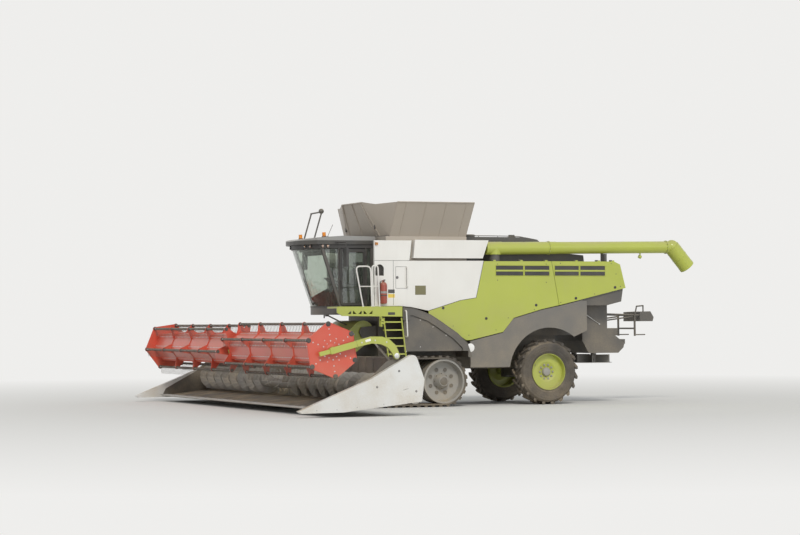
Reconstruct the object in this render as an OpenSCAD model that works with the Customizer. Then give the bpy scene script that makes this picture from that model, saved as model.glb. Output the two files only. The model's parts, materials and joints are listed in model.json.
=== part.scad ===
// Half-track combine harvester with a 12 m cutting header, in millimetres.
// +X is forward, +Y is to the left and +Z is up. The ground is at Z = 0.
// Pieces are drawn from the middle of the track units, and at_origin() then moves them
// so that the origin lies under the middle of the whole machine.

/* [Body] */
// Half width over the side panels
side_half = 1550; // [1450:10:1650]
// Thickness of the side panels and doors
panel_t = 40; // [20:5:60]
// Half width of the closed threshing housing
housing_half = 930; // [850:10:960]
// Height of the top edge of the rear side doors
door_top = 3400; // [3350:10:3440]
// Forward edge of the front side panels
body_front = 780; // [740:10:800]
// Length position where the two rear doors meet
door_split = -3800; // [-4000:10:-3600]

/* [Tracks] */
// Distance between the front and rear wheels of a track
track_base = 1860; // [1700:10:2000]
// Outer radius of a track over its lugs
track_r = 595; // [560:5:610]
// Height of a lug
lug_h = 40; // [25:5:55]
// Thickness of the belt under the lugs
belt_t = 36; // [25:1:45]
// Width of a belt
track_w = 635; // [560:5:660]
// Distance from the middle of the machine to the middle of a track
track_mid = 1335; // [1320:5:1360]
// Lugs on one side of a belt
lug_count = 40; // [30:1:48]

/* [Rear wheels] */
// Distance of the rear axle behind the tracks
rear_axle_x = -3700; // [-3800:10:-3600]
// Outer radius of a rear tyre over its lugs
tyre_r = 775; // [720:5:800]
// Width of a rear tyre
tyre_w = 480; // [400:10:520]
// Radius of the rear rim
rim_r = 430; // [380:5:460]
// Distance from the middle of the machine to the middle of a rear tyre
tyre_mid = 1270; // [1240:5:1300]
// Lugs on one side of a tyre
tyre_lugs = 20; // [16:1:24]

/* [Header] */
// Length of the cutting table between its end walls
header_w = 12000; // [11000:50:12600]
// Thickness of an end divider
divider_t = 150; // [100:5:200]
// Length position of the knife
knife_x = 3550; // [3500:10:3600]
// Height of the knife
knife_z = 170; // [150:5:200]
// Length position of the header back wall
wall_x = 2080; // [2060:5:2090]
// Height of the header back wall
wall_top = 1230; // [1150:10:1260]
// Length position of the intake auger
auger_x = 2450; // [2440:5:2460]
// Height of the intake auger
auger_z = 610; // [600:5:620]
// Radius of the auger over its flights
flight_r = 305; // [280:5:310]
// Radius of the auger tube
auger_tube_r = 150; // [120:5:180]
// Pitch of the auger flights
flight_pitch = 600; // [500:10:700]

/* [Reel] */
// Length position of the reel shaft
reel_x = 3474; // [3470:1:3480]
// Height of the reel shaft
reel_z = 1400; // [1395:1:1405]
// Radius of the circle of tine bars
bar_circle_r = 558; // [520:1:570]
// Radius of a tine bar
bar_r = 20; // [14:1:26]
// Radius of the corners of the six-sided drum
drum_r = 380; // [340:5:385]
// Length of a tine
tine_l = 160; // [120:5:165]
// Spacing of the tines
tine_pitch = 290; // [140:10:320]
// Angle of the first bar of the left reel half, forward of vertical
reel_phase = 8; // [0:1:30]
// Reel plates in each half, the end plates included
spider_count = 5; // [4:1:8]

/* [Unloading tube] */
// Length position of the upright pivot
tube_pivot_x = -2350; // [-2400:10:-2340]
// Distance of the pivot from the middle of the machine
tube_y = 1370; // [1350:5:1380]
// Height of the tube axis at the pivot
tube_z = 3705; // [3690:5:3720]
// Outer radius of the tube
tube_r = 150; // [130:5:155]
// Length from the pivot to the spout
tube_l = 4750; // [4500:10:4900]

/* [Cab] */
// Half width of the cab
cab_half = 950; // [900:5:960]
// Underside of the cab floor
cab_floor_z = 2160; // [2150:5:2180]
// Underside of the cab roof
cab_roof_z = 3700; // [3680:5:3720]
// Length position of the cab rear wall
cab_back = 560; // [550:5:600]
// Length position of the foot of the front pillars
pillar_foot = 1400; // [1380:5:1450]
// Length position of the top of the front pillars
pillar_head = 1850; // [1800:5:1900]

/* [Grain tank] */
// Half width of the tank
tank_half = 1450; // [1400:5:1480]
// Height of the tank rim
tank_rim = 3970; // [3950:5:4000]
// Length position of the tank front wall
tank_front = 440; // [420:5:460]
// Length position of the tank rear wall
tank_back = -1600; // [-1650:5:-1560]
// Height of the raised tank flaps
flap_top = 4745; // [4700:5:4780]
// Distance of a side flap's upper edge from the middle of the machine
flap_half = 1930; // [1900:5:1960]

/* [Hidden] */
$fn = 48;
// Running gap at pins, slides and bearings
fit = 0.05;
// Gap between curved faces that only touch
touch = 0.3;

// Chassis
rail_top = 1080;
rail_h = 220;
rail_y = 480;
rail_t = 120;
beam_top = rail_top - rail_h;
beam_h = 240;
beam_half = 140;
housing_top = 2650;
housing_front = 440;
housing_back = -4750;
panel_in = side_half - panel_t;

// Feeder pivot and the header that hangs on it
lift_x = 760;
lift_z = 1750;
lift_pin_r = 60;
feeder_half = 780;
feeder_drum_r = 270;
feeder_nose = wall_x;

// Track
belt_r = track_r - lug_h;
wheel_r = belt_r - belt_t - touch;
wheel_z = track_r;
track_in = track_mid - track_w / 2;
track_out = track_mid + track_w / 2;
track_arc = PI * track_r;
track_l = 2 * track_base + 2 * track_arc;
frame_in = 950;
frame_out = 1000;
roller_r = 165;
roller_x = 200;

// Header
half_w = header_w / 2;
nose_x = knife_x + 750;
trough_r = flight_r + 30;
end_wall_t = 20;
side_y = half_w + divider_t;

// Reel arms and carriages
arm_t = 80;
arm_slope = 14.3;
arm_y = half_w + 1 + arm_t / 2;
arm_pivot_x = 2070;
arm_pivot_z = 1270;
sleeve_gap = 0.5;
arm_notch = 42;
reel_end = half_w - 75;
reel_gap = 110;
shaft_r = 40;

// Unloading tube and its spout
tube_rise = 0.66;
tube_nose = 240;
tube_lamp = 3880;
spout_r = 190;
spout_l = 640;
spout_drop = 49;
spout_x = tube_pivot_x - tube_l;
rear_end = spout_x - spout_l * cos(spout_drop) - spout_r * sin(spout_drop);

// Distance of the track units ahead of the origin
axle_x = -(nose_x + rear_end) / 2;

// Lift cylinders and their lugs
lift_y = 520;
lift_gap = 65;
lug_t = 25;
lift_base_x = 260;
lift_base_z = 760;
lift_eye_r = 25;
lift_eye_x = 1500;
lift_eye_z = 760;
lift_rod_r = 36;
rod_pin_r = 20;
rod_drift = 10;

// Reel arm cylinders and pivots
arm_pin_r = 25;
arm_rod_y = arm_y - arm_t / 2 - 60;
arm_base_x = 2165;
arm_base_z = 1140;
arm_eye_x = 2560;
arm_eye_z = 1590;
arm_rod_r = 16;
beam_t = 50;
bearing_l = 50;
plate_t = 12;

// Feeder mouth
feeder_low = 440;
feeder_high = 960;
tube_foot = 1060;
mouth_half = 700;
mouth_low = 480;
mouth_high = 920;
mouth_back = feeder_nose - 360;
floor_seam = auger_x + 40;
auger_shaft_r = 30;
flight_steps = 16;
flight_t = 8;

// Guard fingers of the knife
finger_pitch = 152.4;
finger_count = floor((header_w - 100) / finger_pitch);

// Rear axle and wheels
axle_seat = 20;
kingpin_y = 940;
kingpin_r = 40;
spindle_r = 55;
tyre_lug_h = 45;
roller_z = lug_h + belt_t + roller_r + touch;

// Fender outline as [x, z], anticlockwise
fender_front = 140;
fender_skirt = 1300;
fender_out = 1750;
fender_band = 165;
fender_foot = 1150;
fender_line = [[fender_front, 1000], [fender_front, 2320], [-150, 2292], [-550, 2150],
    [-780, 2010], [-1220, 1720], [-1480, 1480], [-1600, fender_foot], [-1655, 1000]];

// Housing, hood and chopper
arch_front = -2750;
arch_top = 1640;
arch_r = 1050;
hood_front = -4300;
sieve_half = 590;
outriggers = [200, -1100];
deck_z = 3390;
deck_half = 1500;
chopper_front = -4790;
chopper_back = -5460;
chopper_half = 1100;
chopper_z = 1200;
rotor_x = -5370;
rotor_y = 530;
rotor_r = 450;
rotor_pin_r = 30;
turret_pin_r = 70;

// Side panels and doors as [x, z]
seam_z = 3400;
grille_x = 640;
grille_w = 190;
grille_z = 3060;
colour_edge = [[-575, 2235], [-1390, 2477], [-1795, 2537], [-1995, seam_z]];
base_line = [[-1640, 905], [-1640, 1520], [-2475, 1712], [-2755, 2042], [-3485, 2242],
    [-3945, 2332], [-4560, 2470], [-4690, 2450], [-4690, 1750], [-2700, 905]];
front_door_line = concat([[-3950, 2355], [-3490, 2262], [-2765, 2062], [-2485, 1732],
    [-1650, 1548], [-1530, 1545], [-1235, 1748], [-795, 2032], [-590, 2165]],
    [for (p = colour_edge) p - [5, 5]], [[door_split + 44, door_top]]);
rear_door_line = [[-5735, 2765], [-3960, 2355], [door_split + 34, door_top],
    [-5430, door_top], [-5590, 3330]];
hinge_y = panel_in + panel_t / 2;
hinge_z = door_top + 20;
hinge_r = 8;
hinge_front = [-2250, -2950, -3600];
hinge_rear = [-4400, -5000, -5380];
louvre_z = 3060;
louvre_h = 230;
louvre_bars = 4;
louvres_front = [[-3015, -2310], [-3700, -3060]];
louvres_rear = [[-4480, -3850], [-5180, -4525]];

// Tank and flaps
wall_t = 40;
hopper_line = [[tank_half - wall_t, tank_rim + 1], [tank_half - wall_t, 3350], [320, 2740]];
flap_t = 8;
front_flap_x = 730;
front_flap_half = 640;

// Cab
cab_sill = cab_floor_z + 180;
pillar_t = 70;
foot_bow = 220;
head_bow = 260;
glass_t = 8;
visor_x = 1960;
visor_bow = 320;
visor_z = 3790;
band_x = pillar_head + 30;
lamp_z = 3745;
door_hinge_x = 770;
door_front = 1400;
door_foot = cab_sill + 30;
door_t = 32;
door_axis_x = door_hinge_x - 22;
door_axis_y = cab_half + 3 + door_t;
door_hinges = [cab_sill + 220, cab_roof_z - 260];
rear_window = [cab_sill + 560, cab_roof_z - 80];
wheel_hub_x = 1230;
mirror_x = 1374;
mirror_y = 1380;

// Platform, ladder and handrails
platform_back = 160;
platform_front = 1770;
platform_out = 1750;
platform_z = cab_sill;
ladder_x = 700;
ladder_y = 1785;
ladder_rear = 200;
ladder_lean = 110;
ladder_pin_r = 12;
ladder_pin_z = [platform_z - 460, platform_z - 280];
rail_line_y = 1732;
handrail_r = 17;

// Height of the cab roof at x
function roof_top(x) = 3990 - (x - 1300) / 15;

// Length position of the slanted rear face of the hood at z
function hood_rear(z) = -5690 + (z - 2760) * 130 / 540;

// Colours
lime = [0.62, 0.70, 0.12];
off_white = [0.88, 0.87, 0.84];
dark_grey = [0.27, 0.27, 0.27];
mid_grey = [0.50, 0.50, 0.49];
tank_brown = [0.55, 0.50, 0.45];
reel_red = [0.80, 0.16, 0.10];
steel = [0.60, 0.60, 0.60];
black = [0.10, 0.10, 0.10];
glass_tint = [0.55, 0.65, 0.65, 0.5];
amber = [0.95, 0.55, 0.10];

module at_origin() translate([axle_x, 0, 0]) children();

// The children and their mirror image on the other side of the machine
module both_sides() {
    children();
    mirror([0, 1, 0]) children();
}

// The left piece as it is, or its mirror image for the right side
module on_side(side) {
    if (side > 0) children();
    else mirror([0, 1, 0]) children();
}

// A sheet from y0 to y1 whose outline is drawn as [x, z]
module slab(y0, y1) translate([0, y1, 0]) rotate([90, 0, 0]) linear_extrude(y1 - y0) children();

// A bar from x0 to x1 whose outline is drawn as [y, z]
module run_x(x0, x1) translate([x0, 0, 0]) rotate([90, 0, 90]) linear_extrude(x1 - x0) children();

// A body of revolution about the Y axis through [x, z], with points given as [radius, y]
module turned_y(x, z, points)
    translate([x, 0, z]) rotate([-90, 0, 0]) rotate_extrude() polygon(points);

// A round bar between two points
module round_bar(p, q, r) {
    d = q - p;
    l = norm(d);
    translate(p) rotate([0, acos(d[2] / l), atan2(d[1], d[0])]) cylinder(r = r, h = l);
}

// A pin along Y through [x, z]
module pin_y(x, z, r, y0, y1) translate([x, y0, z]) rotate([-90, 0, 0]) cylinder(r = r, h = y1 - y0);

// A box given by its lowest and highest corners
module box(a, b) translate(a) cube(b - a);

// Points of an arc about [x, z] from angle a0 to a1
function arc(x, z, r, a0, a1, n = 6) =
    [for (i = [0:n]) let (a = a0 + (a1 - a0) * i / n) [x + r * cos(a), z + r * sin(a)]];

// The outline with every edge moved inwards by d; the points run anticlockwise
function inset(p, d) = [for (i = [0:len(p) - 1])
    let (a = p[(i + len(p) - 1) % len(p)], b = p[i], c = p[(i + 1) % len(p)],
         u = (b - a) / norm(b - a), v = (c - b) / norm(c - b),
         m = [-u[1], u[0]] + [-v[1], v[0]])
    b + m * d * 2 / (m * m)];

// Chassis rails, front axle beam and the brackets that carry the feeder and its cylinders
module main_frame() color(dark_grey) at_origin() {
    both_sides() {
        box([housing_back + 150, rail_y, beam_top], [housing_front - 20, rail_y + rail_t, rail_top]);
        slab(feeder_half + 10, feeder_half + 50)
            polygon([[housing_front, 1450], [lift_x + 60, 1640], [lift_x + 110, 1750],
                     [lift_x + 60, 1860], [housing_front, 1900]]);
        pin_y(lift_x, lift_z, lift_pin_r, feeder_half - 60, feeder_half + 50);
        for (y = [lift_y - lift_gap - lug_t, lift_y + lift_gap])
            slab(y, y + lug_t)
                polygon([[beam_half, beam_top], [beam_half, 640], [lift_base_x + 20, 690],
                         [lift_base_x + 60, lift_base_z], [lift_base_x + 20, 830]]);
        pin_y(lift_base_x, lift_base_z, lift_eye_r, lift_y - lift_gap, lift_y + lift_gap);
    }
    box([-beam_half, -frame_in, beam_top - beam_h], [beam_half, frame_in, beam_top]);
    for (x = [housing_back + 400, rear_axle_x - 130, housing_front - 150])
        box([x, -rail_y, beam_top + axle_seat], [x + 130, rail_y, rail_top]);
}

// Swinging rear axle beam with a boss for each kingpin
module rear_axle() color(dark_grey) at_origin() translate([rear_axle_x, 0, 0]) {
    box([-110, -kingpin_y + 60, tyre_r - 115], [110, kingpin_y - 60, tyre_r + 75]);
    box([-100, -120, tyre_r + 70], [0, 120, beam_top + axle_seat]);
    both_sides() translate([0, kingpin_y, tyre_r - 115]) difference() {
        union() {
            cylinder(r = 75, h = 220);
            box([-60, -75, 0], [60, 0, 220]);
        }
        translate([0, 0, -1]) cylinder(r = kingpin_r + fit, h = 222);
    }
}

// Steering knuckle: kingpin, two cheeks, face plate, spindle and steering arm
module knuckle(side) color(dark_grey) at_origin() on_side(side) translate([rear_axle_x, 0, 0]) {
    translate([0, kingpin_y, tyre_r - 165]) cylinder(r = kingpin_r, h = 320);
    for (z = [tyre_r - 165, tyre_r + 105 + touch])
        translate([0, kingpin_y, z]) linear_extrude(50 - touch) {
            circle(r = 75);
            translate([-75, 0]) square([150, 130]);
        }
    box([-75, kingpin_y + 90, tyre_r - 165], [75, kingpin_y + 130, tyre_r + 155]);
    pin_y(0, tyre_r, spindle_r, kingpin_y + 130, tyre_mid + 60);
    translate([0, kingpin_y, tyre_r - 165]) linear_extrude(30)
        polygon([[0, -30], [-240, -90], [-260, -50], [0, 60]]);
}

// Rear rim: barrel with two flanges, dished disc and hub
module rear_rim(side) color(lime) at_origin() on_side(side) turned_y(rear_axle_x, tyre_r, [
    [spindle_r + fit, kingpin_y + 140], [120, kingpin_y + 140], [120, tyre_mid + 10],
    [250, tyre_mid + 60], [rim_r - 40, tyre_mid + 60], [rim_r - 40, tyre_mid - 205],
    [rim_r - 10, tyre_mid - 225], [rim_r, tyre_mid - 225], [rim_r, tyre_mid + 225],
    [rim_r - 10, tyre_mid + 225], [rim_r - 25, tyre_mid + 90], [240, tyre_mid + 90],
    [120, tyre_mid + 45], [spindle_r + fit, tyre_mid + 45]]);

// Slanted tread bar of a tyre or belt, drawn along +Y at the given radius
module tread_bar(r, h, width, skew, thick) translate([0, 0, r]) linear_extrude(h)
    polygon([[-thick / 2, 0], [thick / 2, 0], [thick / 2 - skew, width], [-thick / 2 - skew, width]]);

// Rear tyre: carcass turned about the axle, with two staggered rows of bars
module rear_tyre(side) color(black) at_origin() on_side(side) {
    h = tyre_w / 2;
    carcass = tyre_r - tyre_lug_h;
    half = [[rim_r + touch, h - 45], [rim_r + 60, h - 12], [(rim_r + carcass) / 2 + 20, h],
            [carcass - 60, h - 12], [carcass - 14, h - 60], [carcass, 0]];
    turned_y(rear_axle_x, tyre_r, [
        for (p = half) [p[0], tyre_mid + p[1]],
        for (i = [len(half) - 2:-1:0]) [half[i][0], tyre_mid - half[i][1]]]);
    intersection() {
        pin_y(rear_axle_x, tyre_r, tyre_r, tyre_mid - h, tyre_mid + h);
        translate([rear_axle_x, tyre_mid, tyre_r]) for (i = [0:tyre_lugs - 1], s = [0, 1])
            rotate([0, (i + s / 2) * 360 / tyre_lugs, 0]) on_side(1 - 2 * s)
                tread_bar(carcass - 30, tyre_lug_h + 40, h - 25, 150, 62);
    }
}

// Beam on the inner side of each track, with the axles of its wheels and rollers
module track_frames() color(dark_grey) at_origin() both_sides() {
    slab(frame_in, frame_out) {
        translate([-track_base / 2, wheel_z - 110]) square([track_base, 220]);
        for (s = [-1, 1]) translate([s * track_base / 2, wheel_z]) circle(r = 140);
        polygon([[-330, wheel_z - 110], [-230, roller_z - 60], [230, roller_z - 60],
                 [330, wheel_z - 110]]);
    }
    for (s = [-1, 1]) {
        pin_y(s * track_base / 2, wheel_z, 90, frame_out, track_in + 12);
        pin_y(s * roller_x, roller_z, 50, frame_out, track_in + 12);
    }
}

// Front and rear wheels and two rollers of each track
module track_wheels() color(mid_grey) at_origin() both_sides() {
    a = track_in + 12;
    b = track_out - 12;
    m = track_mid;
    for (s = [-1, 1]) {
        turned_y(s * track_base / 2, wheel_z, [
            [0, a], [130, a], [130, m - 40], [wheel_r - 90, m - 60], [wheel_r - 60, a + 10],
            [wheel_r, a + 10], [wheel_r, m - 45], [wheel_r - 40, m - 45], [wheel_r - 40, m + 45],
            [wheel_r, m + 45], [wheel_r, b - 10], [wheel_r - 45, b - 10], [wheel_r - 75, m + 110],
            [190, m + 70], [150, m + 190], [110, b - 30], [0, b - 30]]);
        turned_y(s * roller_x, roller_z, [
            [0, a], [50, a], [50, a + 30], [roller_r, a + 30], [roller_r, m - 45],
            [roller_r - 40, m - 45], [roller_r - 40, m + 45], [roller_r, m + 45],
            [roller_r, b - 10], [roller_r - 35, b - 10], [60, m + 120], [60, b - 60], [0, b - 60]]);
    }
}

// Outline of a track at the given distance from the wheel centres, as [x, z]
module track_outline(r) translate([0, wheel_z]) {
    translate([-track_base / 2, -r]) square([track_base, 2 * r]);
    for (s = [-1, 1]) translate([s * track_base / 2, 0]) circle(r = r);
}

// Length position of the wheel or straight run at distance s along a track
function track_x(s) =
    s < track_base ? s - track_base / 2 :
    s < track_base + track_arc ? track_base / 2 :
    s < 2 * track_base + track_arc ? track_base / 2 - (s - track_base - track_arc) :
    -track_base / 2;

// Direction in which the belt faces at distance s along a track, 0 being upwards
function track_turn(s) =
    s < track_base ? 180 :
    s < track_base + track_arc ? 180 - 180 * (s - track_base) / track_arc :
    s < 2 * track_base + track_arc ? 0 :
    -180 * (s - 2 * track_base - track_arc) / track_arc;

// Rubber belts, each with two staggered rows of slanted lugs
module track_belts() color(black) at_origin() both_sides() {
    slab(track_in, track_out) difference() {
        track_outline(belt_r);
        track_outline(wheel_r + touch);
    }
    intersection() {
        slab(track_in, track_out) track_outline(track_r);
        for (i = [0:lug_count - 1], row = [0, 1]) let (s = (i + row / 2) * track_l / lug_count)
            translate([track_x(s), track_mid, wheel_z]) rotate([0, track_turn(s), 0])
                on_side(1 - 2 * row)
                    tread_bar(belt_r - 12, lug_h + 20, track_w / 2 - 12, 90, 78);
    }
}

// Arched fenders over the tracks: roof, raised outer band and recessed side sheet
module track_fenders() color(dark_grey) at_origin() both_sides() {
    slab(housing_half, fender_out) difference() {
        polygon(fender_line);
        polygon(inset(fender_line, 45));
        translate([-2000, 0]) square([3000, fender_foot]);
        translate([fender_front - 50, 0]) square([100, 2200]);
    }
    slab(fender_out - 40, fender_out) difference() {
        polygon(fender_line);
        polygon(inset(fender_line, fender_band));
        translate([fender_front - fender_band - 5, 0]) square([400, 2020]);
        translate([-2000, 0]) square([3000, fender_foot]);
        translate([-1500, 0]) square([2000, fender_skirt]);
    }
    slab(fender_out - 70, fender_out - 39) difference() {
        polygon(inset(fender_line, 30));
        translate([-2000, 0]) square([3000, fender_skirt]);
    }
}

// Closed threshing housing over the tracks, narrower between the rear wheels,
// with outriggers that carry the side panels
module body_housing() color(dark_grey) at_origin() {
    slab(-housing_half, housing_half)
        polygon([[housing_front, rail_top], [housing_front, housing_top], [hood_front, housing_top],
                 [hood_front, arch_top], [arch_front, arch_top], [arch_front + 150, rail_top]]);
    slab(-sieve_half, sieve_half)
        polygon([[arch_front + 150, rail_top], [arch_front, arch_top], [hood_front, arch_top],
                 [hood_front, rail_top]]);
    both_sides() for (x = outriggers)
        box([x - 25, housing_half, housing_top - 120], [x + 25, panel_in, housing_top]);
}

// Lower side panels behind the tracks, cut out round the steered wheels
module base_panels() color(mid_grey) at_origin() both_sides() {
    slab(panel_in, side_half) difference() {
        polygon(base_line);
        translate([rear_axle_x, tyre_r]) circle(r = arch_r);
    }
    box([-2560, housing_half, 1340], [-2500, panel_in, 1460]);
    box([-1720, housing_half, 1340], [-1660, panel_in, 1460]);
    box([-4290, housing_half, 2340], [-4250, panel_in, 2400]);
}

// White panels beside the cab and under the tank, with an arched grille opening
module front_panels() color(off_white) at_origin() both_sides() {
    slab(panel_in, side_half) difference() {
        polygon(concat([[body_front, 2345], [body_front, 3870], [-170, 3870], [-110, seam_z]],
            [for (i = [len(colour_edge) - 1:-1:0]) colour_edge[i] + [5, 5]],
            [[-150, 2325], [150, 2355]]));
        grille_opening();
    }
    box([-150, tank_half, 3820], [tank_front - 20, panel_in, 3860]);
}

// Outline of the arched grille in a front panel
module grille_opening() {
    translate([grille_x - grille_w / 2, grille_z]) square([grille_w, 150]);
    translate([grille_x, grille_z + 150]) circle(r = grille_w / 2);
}

// White box panels along the upper edge of the tank
module tank_panels() color(off_white) at_origin() both_sides()
    slab(tank_half, side_half + 50)
        polygon([[-190, seam_z + 60], [-230, 3885], [-2100, 3885], [-1950, seam_z + 60]]);

// Grain tank: upright walls over a hopper that narrows to the cross auger
module grain_tank() color(tank_brown) at_origin() {
    difference() {
        box([tank_back, -tank_half, housing_top], [tank_front, tank_half, tank_rim]);
        run_x(tank_back + wall_t, tank_front - wall_t)
            polygon([for (s = [1, -1], p = s > 0 ? hopper_line : [hopper_line[2], hopper_line[1],
                hopper_line[0]]) [s * p[0], p[1]]]);
    }
    round_bar([tank_front - wall_t + 5, 0, 2900], [tank_back + wall_t - 5, 0, 2900], 110);
}

// Raised flaps that lengthen the tank upwards, joined at the corners by folded gussets
module tank_flaps() color(tank_brown) at_origin() {
    for (s = [1, -1])
        panel_sheet([[tank_front - 100, s * tank_half, tank_rim], [tank_back + 20, s * tank_half, tank_rim],
                     [tank_back, s * flap_half, flap_top], [tank_front - 100, s * flap_half, flap_top]],
                    [0, -s * flap_t, 0]);
    panel_sheet([[tank_front - 20, 1050, tank_rim], [tank_front - 20, -1050, tank_rim],
                 [front_flap_x, -front_flap_half, flap_top + 50],
                 [front_flap_x, front_flap_half, flap_top + 50]], [-flap_t, 0, 0]);
    panel_sheet([[tank_back + 20, 1050, tank_rim], [tank_back + 20, -1050, tank_rim],
                 [tank_back - 330, -front_flap_half, flap_top + 50],
                 [tank_back - 330, front_flap_half, flap_top + 50]], [flap_t, 0, 0]);
    for (s = [1, -1]) {
        gusset([tank_front - 20, s * 1050, tank_rim], [front_flap_x, s * front_flap_half, flap_top + 50],
               [front_flap_x - 150, s * 1150, flap_top - 20],
               [tank_front - 100, s * flap_half, flap_top], [tank_front - 100, s * tank_half, tank_rim],
               [-8, -8 * s, 0]);
        gusset([tank_back + 20, s * 1050, tank_rim],
               [tank_back - 330, s * front_flap_half, flap_top + 50],
               [tank_back - 220, s * 1150, flap_top - 20],
               [tank_back, s * flap_half, flap_top], [tank_back + 20, s * tank_half, tank_rim],
               [8, -8 * s, 0]);
    }
}

// A flat sheet between four corners, thickened along t
module panel_sheet(p, t) {
    n = len(p);
    polyhedron([for (q = p) q, for (q = p) q + t], faced(p, t, concat(
        [[for (i = [0:n - 1]) i]], [[for (i = [n - 1:-1:0]) n + i]],
        [for (i = [0:n - 1]) [i, n + i, n + (i + 1) % n, (i + 1) % n]])));
}

// The faces, turned round where the sheet is thickened against the order of its corners
function faced(p, t, faces) = cross(p[1] - p[0], p[2] - p[0]) * t > 0 ? faces :
    [for (f = faces) [for (i = [len(f) - 1:-1:0]) f[i]]];

// A creased corner sheet fanned out from its foot e, thickened along t
module gusset(a, b, c, d, e, t) {
    p = [a, b, c, d, e];
    polyhedron([for (q = p) q, for (q = p) q + t], faced(p, t, [
        [4, 0, 1], [4, 1, 2], [4, 2, 3], [9, 6, 5], [9, 7, 6], [9, 8, 7],
        [0, 5, 6], [0, 6, 1], [1, 6, 7], [1, 7, 2], [2, 7, 8], [2, 8, 3],
        [3, 8, 9], [3, 9, 4], [4, 9, 5], [4, 5, 0]]));
}

// Engine and gearcase as one block
module engine_block() color(mid_grey) at_origin()
    box([-3500, -650, housing_top], [-2200, 650, 3300]);

// Deck over the engine bay with its raised hood and the hinge lugs of the side doors
module engine_deck() color(dark_grey) at_origin() {
    box([hood_front, -deck_half, deck_z - 40], [tank_back, deck_half, deck_z]);
    slab(-1060, 1060)
        polygon([[tank_back, deck_z], [tank_back, 3985], [-3300, 3985], [-3620, 3930],
                 [-3980, 3640], [-4850, 3560], [-4870, deck_z]]);
    both_sides() for (x = concat(hinge_front, hinge_rear)) if (x > hood_front) hinge_lug(x);
}

// Lug that holds the hinge rod of a side door, carried by the deck or the rear hood
module hinge_lug(x) difference() {
    union() {
        box([x + 2, deck_half - 40, deck_z], [x + 42, deck_half + 5, hinge_z + 14]);
        box([x + 2, deck_half, hinge_z - 8], [x + 42, hinge_y, hinge_z + 13.9]);
        translate([x + 2, hinge_y, hinge_z]) rotate([0, 90, 0]) cylinder(r = 14, h = 40);
    }
    translate([x, hinge_y, hinge_z]) rotate([0, 90, 0]) cylinder(r = hinge_r + fit, h = 60);
}

// Hinged green side door with its louvre openings and the rod that it swings on
module side_door(outline, louvres, hinges) color(lime) at_origin() {
    slab(panel_in, side_half) difference() {
        polygon(outline);
        for (l = louvres) translate([l[0], louvre_z]) square([l[1] - l[0], louvre_h]);
    }
    for (l = louvres, k = [0:louvre_bars - 1])
        translate([l[0] - 5, panel_in + 6, louvre_z + (k + 0.5) * louvre_h / louvre_bars])
            rotate([35, 0, 0]) cube([l[1] - l[0] + 10, 34, 5]);
    for (x = hinges) {
        box([x - 60, hinge_y - 10, door_top - 1], [x, hinge_y + 10, hinge_z]);
        translate([x - 60, hinge_y, hinge_z]) rotate([0, 90, 0]) cylinder(r = hinge_r, h = 102);
    }
}

// Dark hood that closes the rear of the body above the straw outlet
module rear_hood() color(dark_grey) at_origin() {
    slab(-deck_half, deck_half)
        polygon([[hood_front, 2350], [hood_front, deck_z], [-5440, deck_z], [-5560, 3300],
                 [-5690, 2760], [-5640, 2440], [-5260, 2350]]);
    box([-5290, 1250, deck_z - 1], [-5230, 1440, 3588]);
    box([-5290, 1225, deck_z - 1], [-5230, 1251, 3650]);
    slab(-900, 900)
        polygon([[hood_front, arch_top], [hood_front, 2350], [chopper_front, 2350],
                 [chopper_front, arch_top]]);
    both_sides() for (x = concat(hinge_front, hinge_rear)) if (x < hood_front) hinge_lug(x);
}

// Chopper and its discharge cover, with a bearing for each spreader rotor
module chopper_housing() color(dark_grey) at_origin() difference() {
    slab(-chopper_half, chopper_half)
        polygon([[chopper_front, 1500], [chopper_front, 2350], [-5260, 2350],
                 [chopper_back, 2396], [chopper_back, 1790], [-5930, 1430], [-5900, 1330],
                 [-5760, chopper_z], [chopper_front - 170, chopper_z]]);
    both_sides() translate([rotor_x, rotor_y, chopper_z - 1]) cylinder(r = rotor_pin_r + fit, h = 121);
}

// Spreader rotor: disc, hub, upright shaft and six curved paddles
module spreader_rotor(side) color(mid_grey) at_origin() on_side(side)
    translate([rotor_x, rotor_y, chopper_z - 240]) {
        cylinder(r = rotor_r, h = 12);
        cylinder(r = 70, h = 230);
        cylinder(r = rotor_pin_r, h = 355);
        for (i = [0:5]) rotate([0, 0, 60 * i]) translate([40, -5, 6]) cube([rotor_r - 50, 10, 190]);
    }

// Frame behind the chopper that carries the rear lights and the hitch
module rear_carrier() color(dark_grey) at_origin() {
    for (s = [1, -1]) {
        box([chopper_back - 20, s * 405 - 40, 1910], [chopper_back, s * 405 + 40, 2200]);
        round_bar([chopper_back - 8, s * 405, 2150], [-6720, s * 405, 2110], 22);
        round_bar([chopper_back - 8, s * 405, 1950], [-6550, s * 405, 2080], 18);
        round_bar([-6560, s * 435, 2120], [-6565, s * 435, 1600], 26);
        round_bar([-6555, s * 430, 1630], [-6850, s * 430, 1632], 14);
    }
    slab(-440, 440) polygon([[-6710, 1960], [-6710, 2190], [-7000, 2205], [-7090, 2060],
                             [-7060, 1960]]);
    box([-6578, -430, 1765], [-6548, 430, 1805]);
    tube_u([-6570, 430, 2100], [-6620, 430, 2330], [-6800, 430, 2345], [-6800, 430, 2190]);
}

// Fixed bearing under the unloading tube, standing on the deck
module unloading_turret() color(dark_grey) at_origin() translate([tube_pivot_x, tube_y, 0]) {
    translate([0, 0, deck_z]) cylinder(r = 125, h = tube_z - tube_r - 1 - deck_z);
    translate([0, 0, tube_z - tube_r - 20]) cylinder(r = turret_pin_r, h = 120);
}

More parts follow.
